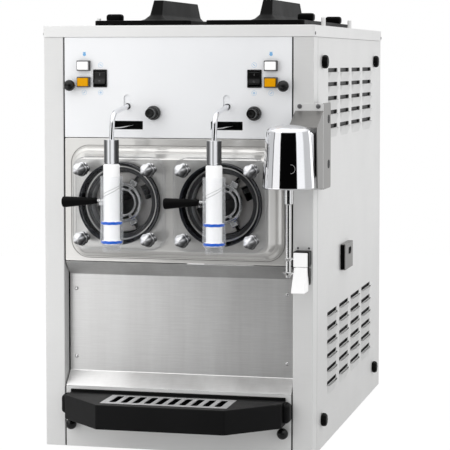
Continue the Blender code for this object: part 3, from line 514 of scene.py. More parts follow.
RUBBER = surface("rubber_seal", "black_rubber", (0.002, 0.002, 0.0022), (0.008, 0.008, 0.009),
                 (0.3, 0.5), bump=0.12, specular=0.12)
BLUE = surface("blue_seal", "blue_rubber", (0.0, 0.06, 0.5), (0.0, 0.17, 0.86), (0.3, 0.45), specular=0.02)
PRINT_BLUE = surface("blue_seal", "blue_print", (0.14, 0.42, 0.76), (0.24, 0.52, 0.84), (0.35, 0.5))
PALE_BLUE = surface("blue_seal", "pale_blue_print", (0.46, 0.65, 0.84), (0.58, 0.74, 0.9), (0.35, 0.5))
IRON = surface("painted_iron", "painted_castings", (0.02, 0.021, 0.024), (0.06, 0.062, 0.068),
               (0.35, 0.6), 0.2, 500, bump=0.3)
ALUMINIUM = surface("aluminium", "cast_aluminium", (0.55, 0.55, 0.56), (0.74, 0.74, 0.75), (0.32, 0.5),
                    1.0, 700, (1, 0.1, 1))

BY_SLOT = {
    "stainless": STEEL, "control_panel": PANEL, "chrome": CHROME, "clear_plastic": CLEAR,
    "white_plastic": WHITE, "orange_plastic": ORANGE, "black_plastic": BLACK,
    "rubber_seal": RUBBER, "blue_seal": BLUE, "painted_iron": IRON, "aluminium": ALUMINIUM,
}


def finish_cad_nodes():
    for row in frame["record"]["subparts"]:
        materials = frame["nodes"][row["node"]].data.materials
        materials.clear()
        materials.append(BY_SLOT[row["material_slot"]].material)


# -------------------- casing

def mirror_x(sign, low, high):
    return (low, high) if sign > 0 else (-high, -low)


@on_both_sides
def posts(side, sign):
    inner, depth, inner_depth = 0.209, 0.038, 0.027
    channel = [(inner, FRONT + inner_depth), (inner, FRONT), (SIDE, FRONT), (SIDE, FRONT + depth),
               (SIDE - SHEET, FRONT + depth), (SIDE - SHEET, FRONT + SHEET),
               (inner + SHEET, FRONT + SHEET), (inner + SHEET, FRONT + inner_depth)]
    outline = [(sign * u, v) for u, v in soften(channel, 0.0016, 4, True)]
    piece(f"folded_post_{side}", plate(outline, [], "Z", 0.0005, CONTROL_TOP, 0.0002), STEEL,
          stands_for=f"front_post_{side}")
    # Black strips in the gaps beside the front panels: painted shade where the gaps fall dark.
    low, high = mirror_x(sign, PANEL_HALF + 0.0001, inner - 0.0001)
    strips = [block((low, FRONT + ahead, bottom), (high, FRONT + 0.0265, top), 0.0002)
              for ahead, bottom, top in ((0.0008, 0.001, 0.109), (0.0245, 0.11, FREEZER_BOTTOM),
                                         (0.0008, FREEZER_BOTTOM + 0.001, CONTROL_TOP - 0.0005))]
    piece(f"gap_shade_strips_{side}", joined(*strips), RUBBER)


HOPPER_OFFSET, HOPPER_HALF, HOPPER_FRONT, HOPPER_BACK = 0.1067, 0.0785, FRONT + 0.158, FRONT + 0.628
LATCH_PLACES = (FRONT + 0.24, FRONT + 0.528)


def top_cap():
    half_x, half_y = SIDE + 0.0015, BACK + 0.0015
    profile = soften([(0.0015, CAP_BOTTOM), (0, CAP_BOTTOM), (0, CAP_TOP), (0.004, CAP_TOP)], 0.0014, 5)
    rings = [lying(box_outline((0, 0), half_x - inset, half_y - inset, 0.0042 - inset), z)
             for inset, z in profile]
    holes = [box_outline((sign * HOPPER_OFFSET, (HOPPER_FRONT + HOPPER_BACK) / 2), HOPPER_HALF + 0.0015,
                         (HOPPER_BACK - HOPPER_FRONT) / 2 + 0.0015, 0.022) for _, sign in SIDES]
    top = fill([from_above(rings[-1]), *holes], "Z", CAP_TOP)
    pins = [turned([(0.0041, CAP_TOP - 0.001), (0.0041, 0.7745), (0, 0.7745)],
                   (sign * 0.2174, y, 0), UP, 0.0016, 32) for _, sign in SIDES for y in LATCH_PLACES]
    piece("folded_top_cap", joined(loft(rings, cap=False), top, *pins), CAP_STEEL, stands_for="top_cap")


def round_screws(name, finish, places, axes, radius, height):
    """Low domed screw heads."""
    profile = [(radius, 0), (radius, height * 0.45), (radius * 0.6, height), (0, height)]
    heads = [turned(profile, at, axis, radius * 0.3, 32) for at, axis in zip(places, axes)]
    piece(name, joined(*heads), finish)


def screws():
    splash = [(sign * 0.1945, FRONT + 0.025, z) for _, sign in SIDES for z in (0.2835, 0.1603)]
    cap = [(sign * (SIDE + 0.0015), FRONT + ahead, 0.7415) for _, sign in SIDES for ahead in (0.0048, 0.755)]
    bracket_plate = [(x, FRONT - 0.0023, 0.6151) for x in (0.2207, 0.2534)]
    switch_plate = [(x, FRONT, 0.3685) for x in (0.218, 0.2375)]
    forward = [FORWARD] * 4
    round_screws("splash_screws", POLISHED, splash, forward, 0.0034, 0.002)
    round_screws("cap_screws", DARK_RIM, cap, [(x, 0, 0) for x, _, _ in cap], 0.003, 0.0012)
    round_screws("bracket_screws", DARK_RIM, bracket_plate, forward, 0.0041, 0.0022)
    round_screws("cup_switch_screws", DARK_RIM, switch_plate, forward, 0.0019, 0.0012)


LOUVRE_COLUMNS = ((0.139, 0.235), (0.265, 0.363), (0.392, 0.493), (0.522, 0.629))
LOUVRE_PITCH, LOUVRE_HALF_SLOT, LOUVRE_DROP, LOUVRE_BULGE = 0.0254, 0.003, 0.017, 0.0058
LOUVRE_TOPS = [0.676 - LOUVRE_PITCH * n for n in range(5)] + [0.233 - LOUVRE_PITCH * n for n in range(6)]
DRAWER_FRONT, DRAWER_BACK, DRAWER_BOTTOM, DRAWER_TOP = FRONT + 0.274, FRONT + 0.36, 0.3, 0.349


def scoop(sign, start, end, lip):
    """The pressed tongue below a louvre slot: highest at its lip and fading into the sheet."""
    middle, half = (start + end) / 2, (end - start) / 2
    columns, rows = 28, 10
    points, faces = [], []
    for row in range(rows + 1):
        down = row / rows
        reach = half * (1 - 0.1 * down ** 2)
        for column in range(columns + 1):
            across = 2 * column / columns - 1
            ends = max(0.0, 1 - abs(across) ** 6) ** 0.5
            bulge = LOUVRE_BULGE * (1 - down) * (1 - 0.25 * down) * ends
            drop = LOUVRE_DROP * down * (0.86 + 0.14 * ends)
            points.append(Vector((sign * (SIDE + bulge), middle + reach * across, lip - drop)))
    width = columns + 1
    for row in range(rows):
        for column in range(columns):
            first = row * width + column
            faces.append((first, first + 1, first + width + 1, first + width))
    back = len(points)
    for column in range(width):
        edge = points[column]
        points.append(Vector((edge.x - sign * min(0.0012, abs(edge.x) - SIDE + 0.0003), edge.y, edge.z)))
    for column in range(columns):
        faces.append((column, column + 1, back + column + 1, back + column))
    return points, faces


@on_both_sides
def side_panels(side, sign):
    low, high = FRONT + 0.0395, BACK
    outline = [(low, 0.0005), (high, 0.0005), (high, CONTROL_TOP), (low, CONTROL_TOP)]
    holes, tongues = [], []
    for start, end in LOUVRE_COLUMNS:
        for z in LOUVRE_TOPS:
            middle, half = FRONT + (start + end) / 2, (end - start) / 2
            holes.append(box_outline((middle, z + 0.0007), half, LOUVRE_HALF_SLOT + 0.0007, 0.0022, 4))
            tongues.append(scoop(sign, FRONT + start, FRONT + end, z - LOUVRE_HALF_SLOT))
    if sign > 0:
        holes.append(box_outline(((DRAWER_FRONT + DRAWER_BACK) / 2, (DRAWER_BOTTOM + DRAWER_TOP) / 2),
                                 0.041, 0.0225))
    skin = plate(outline, holes, "X", *mirror_x(sign, SIDE - SHEET, SIDE), 0.0003)
    piece(f"louvred_panel_{side}", joined(skin, *tongues), SIDE_STEEL, stands_for=f"{side}_side_panel")
    # Black sheets behind the louvre slots and behind the seam next to the post: painted shade, so the
    # openings read dark.
    low, high = mirror_x(sign, SIDE - 0.0055, SIDE - 0.0045)
    shade_sheets = [block((low, FRONT + 0.12, bottom), (high, FRONT + 0.64, top), 0.0003)
              for bottom, top in ((0.092, 0.245), (0.56, 0.69))]
    low, high = mirror_x(sign, SIDE - 0.0045, SIDE - 0.0022)
    shade_sheets.append(block((low, FRONT + 0.0355, 0.001), (high, FRONT + 0.0425, CONTROL_TOP - 0.001),
                        0.0003))
    piece(f"seam_and_louvre_shade_sheets_{side}", joined(*shade_sheets), RUBBER)
    knobs = [turned([(0.0105, 0), (0.012, 0.002), (0.012, 0.0068), (0.0095, 0.0098), (0, 0.01)],
                    (sign * SIDE, FRONT + ahead, z), (sign, 0, 0), 0.0022, 64, lobes=8, depth=0.0007)
             for ahead in (0.086, 0.671) for z in (0.692, 0.052)]
    piece(f"hand_knobs_{side}", joined(*knobs), BLACK)


def ball_knobs():
    """Round black knobs that hold the control panel and the lower panel."""
    ball = [(0.0052, 0.0), (0.0052, 0.0035)]
    centre, radius = 0.013, 0.01
    ball += [(radius * sin(radians(a)), centre - radius * cos(radians(a))) for a in range(32, 180, 8)]
    ball += [(0, centre + radius)]
    for name, z in (("upper", 0.65), ("lower", 0.043)):
        shapes = [turned(ball, (sign * 0.1937, FRONT, z), FORWARD, 0.0004, 48) for _, sign in SIDES]
        piece(f"ball_knobs_{name}", joined(*shapes), GLOSS_BLACK)


def rear_panel():
    half = SIDE - SHEET - 0.0003
    outline = [(-half, 0.0005), (half, 0.0005), (half, CONTROL_TOP), (-half, CONTROL_TOP)]
    vents = [box_outline((x, 0.104 + 0.024 * row), 0.075, 0.004, 0.0038, 6)
             for x in (-0.105, 0.105) for row in range(8)]
    gland = circle_outline((-0.18, 0.055), 0.0112, 32)
    piece("vented_rear_panel", plate(outline, [*vents, gland], "Y", BACK - SHEET, BACK), SIDE_STEEL,
          stands_for="rear_panel")


# -------------------- control panel

def returns(bottom, top):
    """The side edges of a front panel, folded back behind it."""
    sheets = [mirror_x(sign, PANEL_HALF - SHEET, PANEL_HALF) for _, sign in SIDES]
    return joined(*[block((low, FRONT + 0.001, bottom), (high, FRONT + 0.024, top), 0.0004)
                    for low, high in sheets])


def control_panel():
    outline = soften([(-PANEL_HALF, CONTROL_BOTTOM), (PANEL_HALF, CONTROL_BOTTOM),
                      (PANEL_HALF, CONTROL_TOP), (-PANEL_HALF, CONTROL_TOP)], 0.001, 3, True)
    holes = []
    for _, sign in SIDES:
        holes.append(box_outline((sign * ROCKER_X, ROCKER_Z), 0.0106, 0.0136))
        holes += [box_outline((sign * BUTTON_X, z), 0.0102, 0.0078) for z in (WHITE_Z, ORANGE_Z)]
        holes.append(box_outline((sign * SLOT_X, SLOT_Z), 0.0065, 0.01325, 0.0064, 10))
        holes.append(box_outline((sign * SLOT_X, WINDOW_Z), 0.027, 0.006, 0.0009, 3))
    sheet = front_plate(outline, holes, 0, SHEET)
    piece("control_panel_sheet", joined(sheet, returns(CONTROL_BOTTOM, CONTROL_TOP)), PANEL,
          stands_for="control_panel")


@on_both_sides
def bezels(side, sign):
    middle = (sign * ROCKER_X, ROCKER_Z)
    rim = front_plate(box_outline(middle, 0.01275, 0.01575, 0.0015),
                      [box_outline(middle, 0.0104, 0.0134, 0.0006)], 0.0025, 0, 0.0007)
    well = loft([standing(box_outline(middle, 0.0105, 0.0135), y)
                 for y in (FRONT - 0.0015, FRONT + 0.014)], cap=False)
    piece(f"rocker_bezel_{side}", joined(rim, well), GLOSS_BLACK)
    for colour, z in (("white", WHITE_Z), ("orange", ORANGE_Z)):
        middle = (sign * BUTTON_X, z)
        outside = box_outline(middle, 0.0117, 0.00925, 0.001)
        inside = box_outline(middle, 0.0101, 0.00765)
        piece(f"{colour}_button_collar_{side}", front_plate(outside, [inside], 0.0072, 0, 0.0004),
              GLOSS_BLACK)
        piece(f"{colour}_button_rim_{side}", front_plate(outside, [inside], 0.008, -0.0071), DARK_RIM)
    tray = block((sign * SLOT_X - 0.0285, FRONT + SHEET + 0.01, WINDOW_Z - 0.0075),
                 (sign * SLOT_X + 0.0285, FRONT + SHEET + 0.012, WINDOW_Z + 0.0075), 0.0006)
    middle = (sign * SLOT_X, WINDOW_Z)
    walls = front_plate(box_outline(middle, 0.0285, 0.0075, 0.001),
                        [box_outline(middle, 0.0266, 0.0056, 0.0008)], 0.0003, 0.0125, 0.0002)
    piece(f"window_back_{side}", joined(tray, walls), BLACK)


@on_both_sides
def switches(side, sign):
    profile = [(-0.0085, 0.0118), (-0.0068, 0.0), (-0.0085, -0.0118), (0, -0.0105),
               (0.006, -0.004), (0.006, 0.004), (0, 0.0105)]
    outline = soften(profile, 0.003, 5, True)
    body = plate(outline, [], "X", -0.01, 0.01, 0.0005)
    marks = joined(plate(box_outline((0, 0.006), 0.0005, 0.002, 0.0004), [], "Y", -0.0082, -0.007,
                         0.00015),
                   plate(circle_outline((0, -0.0062), 0.0017, 24),
                         [circle_outline((0, -0.0062), 0.0011, 24)], "Y", -0.0084, -0.0072, 0.00015))
    place = (Matrix.Translation((sign * ROCKER_X, FRONT + 0.004, ROCKER_Z))
             @ Matrix.Rotation(ROCKER_TILT, 4, "X"))
    piece(f"rocker_paddle_{side}", moved(body, place), GLOSS_BLACK, f"{side}_rocker", f"rocker_{side}")
    piece(f"rocker_marks_{side}", moved(marks, place), DARK_RIM, f"{side}_rocker")
    for colour, z, finish in (("white", WHITE_Z, WHITE), ("orange", ORANGE_Z, ORANGE)):
        x = sign * BUTTON_X
        cap = moved(block((-0.0097, -0.00725, -0.006), (0.0097, 0.00725, 0.0118), 0.0012, 4),
                    Matrix.Translation((x, FRONT, z)) @ Matrix.Rotation(radians(90), 4, "X"))
        piece(f"{colour}_lens_{side}", cap, finish, f"{side}_{colour}_button", f"{colour}_button_{side}")


@on_both_sides
def knobs(side, sign):
    profile = [(0, 0.029), (0.0035, 0.029), (0.0045, 0.03), (0.008, 0.03), (0.0084, 0.0285),
               (0.0086, 0.013), (0.0108, 0.0105), (0.0124, 0.0085), (0.0127, 0.0065),
               (0.0127, 0.0008), (0.003, 0.0008), (0.003, -0.012), (0, -0.012)]
    at = (sign * HEAD_OFFSET + KNOB_OFFSET, FRONT, KNOB_Z)
    body = turned(profile, at, FORWARD, 0.0006, 96)
    piece(f"rotary_knob_{side}", body, GLOSS_BLACK, f"{side}_knob", f"consistency_knob_{side}")
    ring = turned([(0.0104, 0.0098), (0.0109, 0.0106), (0.0114, 0.0098)], at, FORWARD, 0.0002, 96, True)
    piece(f"rotary_knob_ring_{side}", ring, DARK_RIM, f"{side}_knob")


def mark(outline, *holes, turn=None):
    """A printed mark. One that is turned is given about (0, 0) and then put in its place."""
    if turn:
        return moved(plate(outline, holes, "Y", FRONT - 0.00012, FRONT + 0.0002, 0.00002), turn)
    return front_plate(outline, holes, 0.00012, 0.0002, 0.00002)


@on_both_sides
def symbols(side, sign):
    """Plain printed marks: a drop-like disc, rings with a bar and a ring with a diamond."""
    x, z = sign * BUTTON_X - 0.0005 * sign, 0.705
    drop = joined(mark(circle_outline((x, z), 0.003, 40)),
                  mark(box_outline((x, z + 0.0036), 0.0028, 0.0006, 0.0005)))
    piece(f"drop_symbol_{side}", drop, PRINT_BLUE)
    shapes = []
    for x, z, tilt in ((0.1395, 0.6862, 40), (0.1395, 0.6375, 0), (0.17, 0.6375, -40)):
        x *= sign
        shapes.append(mark(circle_outline((x, z), 0.0046, 40), circle_outline((x, z), 0.004, 40)))
        if tilt:
            turn = Matrix.Translation((x, 0, z)) @ Matrix.Rotation(radians(tilt), 4, "Y")
            shapes.append(mark(box_outline((0, 0), 0.0026, 0.0007, 0.0005), turn=turn))
        else:
            shapes.append(mark([(x, z - 0.0027), (x + 0.0027, z), (x, z + 0.0027), (x - 0.0027, z)]))
    piece(f"ring_symbols_{side}", joined(*shapes), PALE_BLUE)


# -------------------- freezer front

BOSS_REACH = 0.038
BOSS_PROFILE = [
    # reach in front of the panel, half width, half height, height of the middle, corner
    (0.0, 0.1948, 0.1003, 0.4435, 0.0328),
    (0.0, 0.1925, 0.098, 0.4435, 0.0305),
    (0.009, 0.1908, 0.0963, 0.4435, 0.029),
    (0.013, 0.185, 0.0905, 0.443, 0.024),
    (0.025, 0.1835, 0.089, 0.443, 0.023),
    (0.035, 0.176, 0.083, 0.4415, 0.018),
    (BOSS_REACH, 0.1735, 0.0808, 0.44125, 0.016),
    (BOSS_REACH, 0.17, 0.0773, 0.44125, 0.013),
]


def freezer_panel():
    def ring(level):
        reach, half_width, half_height, middle, corner = level
        return box_outline((0, middle), half_width, half_height, corner, 14), FRONT - reach

    levels = [ring(level) for level in soften(BOSS_PROFILE, 0.0042, 6)]
    steps = loft([standing(outline, y) for outline, y in levels], cap=False)
    top, bottom = CONTROL_BOTTOM - 0.0012, FREEZER_BOTTOM + 0.0009
    middle, half_height = (top + bottom) / 2, (top - bottom) / 2
    rings = [standing(box_outline((0, middle), PANEL_HALF - inset, half_height - inset, 0.0021 - inset, 3),
                      FRONT + drop)
             for inset, drop in soften([(0.002, 0), (0, 0), (0, 0.024)], 0.0014, 5)]
    skirt = loft(rings, cap=False)
    flat = fill([[(x, z) for x, _, z in rings[0]], levels[0][0]], "Y", FRONT)
    radius = 0.0629
    openings = [circle_outline((sign * HEAD_OFFSET, HEAD_Z), radius) for _, sign in SIDES]
    face = fill([levels[-1][0], *openings], "Y", FRONT - BOSS_REACH)
    lips = [turned([(radius, BOSS_REACH), (radius, BOSS_REACH - 0.005)], head(sign), FORWARD, 0.0, 64)
            for _, sign in SIDES]
    lips = [(points, faces[:-2]) for points, faces in lips]
    piece("pressed_freezer_panel", joined(steps, skirt, flat, face, *lips), BRIGHT_STEEL,
          stands_for="freezer_front_panel")
    # Thin dark lines along two of the boss's folds: painted shade in the creases.
    crease_shade = []
    for level in ((0.0003, 0.1948, 0.1003, 0.4435, 0.0328), (0.0132, 0.185, 0.0905, 0.443, 0.024)):
        outline, y = ring(level)
        crease_shade.append(tube(standing([*outline, outline[0]], y), 0.0006, 8))
    piece("boss_crease_shade", joined(*crease_shade), DULL_AND_SHADED_STEEL)


@on_both_sides
def cylinders(side, sign):
    profile = [(0.062, -0.036), (0.062, 0.4), (0.0088, 0.4), (0.0088, 0.394), (0.055, 0.394),
               (0.055, -0.036)]
    shape = turned(profile, head(sign), BACKWARD, 0.0005, 96, True)
    piece(f"bored_cylinder_{side}", shape, INNER_STEEL, stands_for=f"freezing_cylinder_{side}")
    seal = [(0.072, 0.0415), (0.072, 0.0383), (0.065, 0.0383), (0.065, 0.0415)]
    shape = turned(seal, head(sign), FORWARD, 0.001, 96, True)
    piece(f"door_seal_{side}", shape, RUBBER, stands_for=f"door_gasket_{side}")


def helix(x, offset, start=172, end=345, steps=40):
    """One edge of the cam slot on the outside of the clear barrel."""
    path = []
    radius = BARREL_RADIUS + 0.0001
    for step in range(steps + 1):
        angle = start + (end - start) * step / steps
        fade = sin(pi * step / steps) ** 0.35
        z = HANDLE_Z - 0.001 + 0.015 * (angle - 180) / 90 + offset * fade
        a = radians(angle)
        path.append((x + radius * cos(a), VALVE_Y + radius * sin(a), z))
    return path


# Dark bands of painted shade in the walls of the round plug moulded into the clear door: radius, start and
# end of its reach
DOOR_BANDS = ((0.0722, 0.05, 0.0588), (0.0714, 0.0425, 0.0484))
DOOR_HALF_WIDTH, DOOR_HALF_HEIGHT, DOOR_CORNER = 0.083, 0.0825, 0.025
DOOR_FRONT, DOOR_BACK = FRONT - 0.06, FRONT - 0.0418


def door_outline(x, inset=0.0):
    return box_outline((x, HEAD_Z), DOOR_HALF_WIDTH - inset, DOOR_HALF_HEIGHT - inset, DOOR_CORNER - inset,
                       12)


@on_both_sides
def doors(side, sign):
    half = NUT_HALF_PITCH
    x = sign * HEAD_OFFSET
    holes = [circle_outline((x + i * half, HEAD_Z + k * half), 0.0052, 24)
             for i in (-1, 1) for k in (-1, 1)]
    cover = plate(door_outline(x), holes, "Y", DOOR_FRONT, DOOR_BACK, 0.0022, 4)
    web = block((x - 0.01, FRONT - 0.0764, 0.386), (x + 0.01, FRONT - 0.0595, 0.49), 0.002)
    barrel = [(0.0182, BARREL_TOP), (BARREL_RADIUS, BARREL_TOP), (BARREL_RADIUS, 0.406),
              (0.0203, 0.4), (0.0203, 0.382), (BARREL_RADIUS, 0.3785), (0.0152, 0.3745),
              (0.0152, SPOUT_BOTTOM), (0.013, SPOUT_BOTTOM), (0.013, 0.3745), (0.0182, 0.3775)]
    tower = turned(barrel, (x, VALVE_Y, 0), UP, 0.0008, 96, True)
    piece(f"clear_door_{side}", joined(cover, web), CLEAR, stands_for=f"door_{side}")
    piece(f"clear_barrel_{side}", tower, CLEAR_BARREL)
    # Pale grey lines round the clear door's edges and along the cam slot: painted highlights where the clear
    # edges catch the light.
    loop = door_outline(x, 0.0016)
    edges = [tube(standing([*loop, loop[0]], FRONT - reach), 0.00045, 8) for reach in (0.0588, 0.043)]
    piece(f"door_edge_lines_{side}", joined(*edges), PALE_GREY)
    lines = [tube(helix(x, offset), 0.00035, 8) for offset in (-0.0026, 0.0026)]
    piece(f"cam_slot_edges_{side}", joined(*lines), PALE_GREY)
    # Dark bands in the clear plug's walls: painted shade.
    bands = [turned([(radius - 0.0014, start), (radius - 0.0014, end), (radius, end), (radius, start)],
                    head(sign), FORWARD, 0.0004, 96, True) for radius, start, end in DOOR_BANDS]
    piece(f"door_plug_wall_shade_{side}", joined(*bands), PLUG_WALL_SHADE)


@on_both_sides
def nuts(side, sign):
    """Domed chrome hand nuts, each on a lobed collar."""
    profile = [(0, 0.1), (0.005, 0.099), (0.0088, 0.0962), (0.011, 0.0925), (0.0116, 0.089),
               (0.011, 0.0855), (0.0095, 0.0835)]
    collar = [(0.009, 0.0845), (0.0128, 0.083), (0.013, 0.077), (0.0095, 0.0745), (0.0085, 0.0655),
              (0.011, 0.0625), (0.011, 0.0603), (0.004, 0.0603), (0.004, 0.0383), (0, 0.0383)]
    half = NUT_HALF_PITCH
    for row, k in (("upper", 1), ("lower", -1)):
        for column, i in (("outer", sign), ("inner", -sign)):
            at = head(sign, i * half, k * half)
            name = f"door_nut_{side}_{row}_{column}"
            dome = turned(profile, at, FORWARD, 0.0024, 90, lobes=5, depth=0.0013)
            lobed = turned(collar, at, FORWARD, 0.0012, 72, lobes=5, depth=0.002)
            piece(f"domed_{name}", joined(dome, lobed), NUT_CHROME, stands_for=name)


# The two rings at a beater's front: outside and inside radius, reach, length
BEATER_RINGS = ((0.0355, 0.03, 0.034, 0.014), (0.0255, 0.0215, 0.031, 0.015))


@on_both_sides
def beaters(side, sign):
    axis = head(sign)
    rings = [turned([(outside, back), (outside, back - deep), (inside, back - deep), (inside, back)],
                    axis, FORWARD, 0.0012, 96, True) for outside, inside, back, deep in BEATER_RINGS]
    hub = turned([(0, 0.445), (0.008, 0.445), (0.008, 0.388), (0.046, 0.388), (0.046, 0.38), (0, 0.38)],
                 axis, BACKWARD, 0.0006, 48)
    bars, blades = [], []
    for number in range(3):
        turn = Matrix.Translation(axis) @ Matrix.Rotation(radians(120 * number + 30), 4, "Y")
        bars.append(moved(block((-0.007, -0.03, 0.0335), (0.007, 0.384, 0.045), 0.002), turn))
        bars.append(moved(block((-0.003, -0.029, 0.0235), (0.003, -0.019, 0.0345), 0.001), turn))
        blades.append(moved(block((-0.0015, -0.03, 0.044), (0.0015, 0.384, 0.0525), 0.0006), turn))
    piece(f"beater_frame_{side}", joined(*rings, hub, *bars), POLISHED, f"{side}_beater",
          f"beater_{side}")
    piece(f"beater_blades_{side}", joined(*blades), BLACK, f"{side}_beater")
    openings = [[(sign * HEAD_OFFSET + u * cos(a) - v * sin(a), HEAD_Z + u * sin(a) + v * cos(a))
                 for u, v in box_outline((0.0442, 0), 0.006, 0.013, 0.0015, 4)]
                for a in (radians(25), radians(205))]
    middle = (sign * HEAD_OFFSET, HEAD_Z)
    disc = plate(circle_outline(middle, 0.0525, 96), [circle_outline(middle, 0.034, 96), *openings],
                 "Y", FRONT - 0.018, FRONT - 0.013, 0.0006)
    piece(f"beater_disc_{side}", disc, DISC_STEEL, f"{side}_beater")


@on_both_sides
def valves(side, sign):
    profile = [(0, PISTON_TOP), (0.0122, PISTON_TOP), (0.0142, PISTON_TOP - 0.002)]
    for z in reversed(SEAL_HEIGHTS):
        profile += [(0.0142, z + 0.003), (0.0176, z + 0.0026), (0.0176, z - 0.0026), (0.0142, z - 0.003)]
    profile += [(0.0142, 0.3778), (0, 0.3778)]
    droop = Vector((-cos(HANDLE_DROOP), 0, -sin(HANDLE_DROOP)))
    at = (sign * HEAD_OFFSET, VALVE_Y, 0)
    piece(f"white_piston_{side}", turned(profile, at, UP, 0.0008, 96), WHITE, f"{side}_valve",
          f"valve_piston_{side}")
    rings = []
    for z in SEAL_HEIGHTS:
        seal = turned([(0.0172 + 0.0012 * cos(a), z + 0.0026 * sin(a))
                       for a in (2 * pi * i / 12 for i in range(12))], at, UP, 0.0, 120, True)
        points = [p + Vector((0, 0, 0.00015 * sin(9 * atan2(p.y - at[1], p.x - at[0])))) for p in seal[0]]
        rings.append((points, seal[1]))
    piece(f"piston_rings_{side}", joined(*rings), BLUE, f"{side}_valve")
    pivot = Vector((at[0], at[1], HANDLE_Z))
    grip = [(0, 0.0887), (0.0082, 0.0887), (0.0097, 0.0867), (0.0096, 0.084), (0.0066, 0.043),
            (0.0054, 0.0285), (0.0046, 0.0262), (0, 0.0262)]
    piece(f"tapered_grip_{side}", turned(grip, pivot, droop, 0.001, 64), BLACK, f"{side}_valve",
          f"draw_handle_{side}")
    pin = [(0, 0.0275), (0.0019, 0.0275), (0.0019, 0.0245), (0.0034, 0.0242), (0.0034, 0.023),
           (0.0019, 0.0227), (0.0019, 0.0055), (0, 0.0055)]
    piece(f"grip_pin_{side}", turned(pin, pivot, droop, 0.0003, 32), POLISHED, f"{side}_valve")


def bezier(points, steps):
    (a, b, c, d) = [Vector(p) for p in points]
    return [a * (1 - t) ** 3 + b * 3 * t * (1 - t) ** 2 + c * 3 * t ** 2 * (1 - t) + d * t ** 3
            for t in (i / steps for i in range(steps + 1))]


@on_both_sides
def draw_rods(side, sign):
    x = sign * HEAD_OFFSET
    path = [Vector((x, FRONT + 0.03, 0.613)), Vector((x, FRONT - 0.002, 0.6128))]
    path += bezier([(x, FRONT - 0.062, 0.6062), (x, FRONT - 0.082, 0.6035),
                    (x, FRONT - 0.089, 0.597), (x, FRONT - 0.0905, 0.582)], 14)
    path += [Vector((x, VALVE_Y, 0.559)), Vector((x, VALVE_Y, 0.553))]
    rod = tube(path, 0.0045, 28)
    sleeve = [(0, 0.5586), (0.0052, 0.5586), (0.013, 0.558), (0.013, 0.5205), (0.0122, 0.519),
              (0.0122, 0.5166), (0, 0.5166)]
    piece(f"bent_rod_{side}", rod, CHROME, f"{side}_valve_lift", f"draw_rod_{side}")
    piece(f"rod_sleeve_{side}", turned(sleeve, (x, VALVE_Y, 0), UP, 0.0006, 96), SLEEVE_CHROME,
          f"{side}_valve_lift")
    outline = box_outline((x, 0.6215), 0.0095, 0.03, 0.009)
    shield = plate(outline, [circle_outline((x, 0.613), 0.0058, 40)], "Y", FRONT + 0.003,
                   FRONT + 0.004, 0.0002)
    piece(f"slot_shield_{side}", shield, PANEL, f"{side}_valve_lift")
    wire = soften([(x + 0.01, FRONT + 0.009, 0.58), (x - 0.006, FRONT - 0.006, 0.5765),
                   (x - 0.024, FRONT - 0.024, 0.5745)], 0.004, 4)
    piece(f"switch_wire_{side}", tube(wire, 0.0009, 12), POLISHED)


# -------------------- splash area and drip tray

def splash_area():
    slope = SHEET * hypot(1, 1)
    back, top, bottom = FRONT + 0.025, FREEZER_BOTTOM - 0.0003, 0.1101
    outline = soften([(FRONT, top), (back, top - 0.025), (back, bottom + 0.025), (FRONT, bottom),
                      (FRONT + slope, bottom), (back + SHEET, bottom + 0.024),
                      (back + SHEET, top - 0.024), (FRONT + slope, top)], 0.0014, 4, True)
    piece("folded_splash_panel", plate(outline, [], "X", -PANEL_HALF, PANEL_HALF, 0.0002), SPLASH_STEEL,
          stands_for="splash_panel")
    outline = box_outline((0, 0.05515), PANEL_HALF, 0.05465, 0.0012, 3)
    sheet = plate(outline, [], "Y", FRONT, FRONT + SHEET, 0.0004)
    piece("lower_front_sheet", joined(sheet, returns(0.001, 0.1092)), STEEL,
          stands_for="lower_front_panel")


GRILLE_HALF, GRILLE_FRONT, GRILLE_BACK = 0.1135, FRONT - 0.0985, FRONT - 0.02
SLOT_COUNT, SLOT_PITCH, SLOT_HALF = 10, 0.021, 0.0061
TRAY_BOTTOM, TRAY_TOP, TRAY_BACK = 0.057, 0.1, FRONT - 0.0005


def tray_outline(inset, corner):
    shoulder, nose = 0.197 - inset, 0.1145 - inset / 2
    outline = [(shoulder, TRAY_BACK - inset), (-shoulder, TRAY_BACK - inset),
               (-shoulder, FRONT - 0.039 + inset / 2), (-nose, FRONT - 0.119 + inset),
               (nose, FRONT - 0.119 + inset), (shoulder, FRONT - 0.039 + inset / 2)]
    return soften(outline, corner, 5, True)


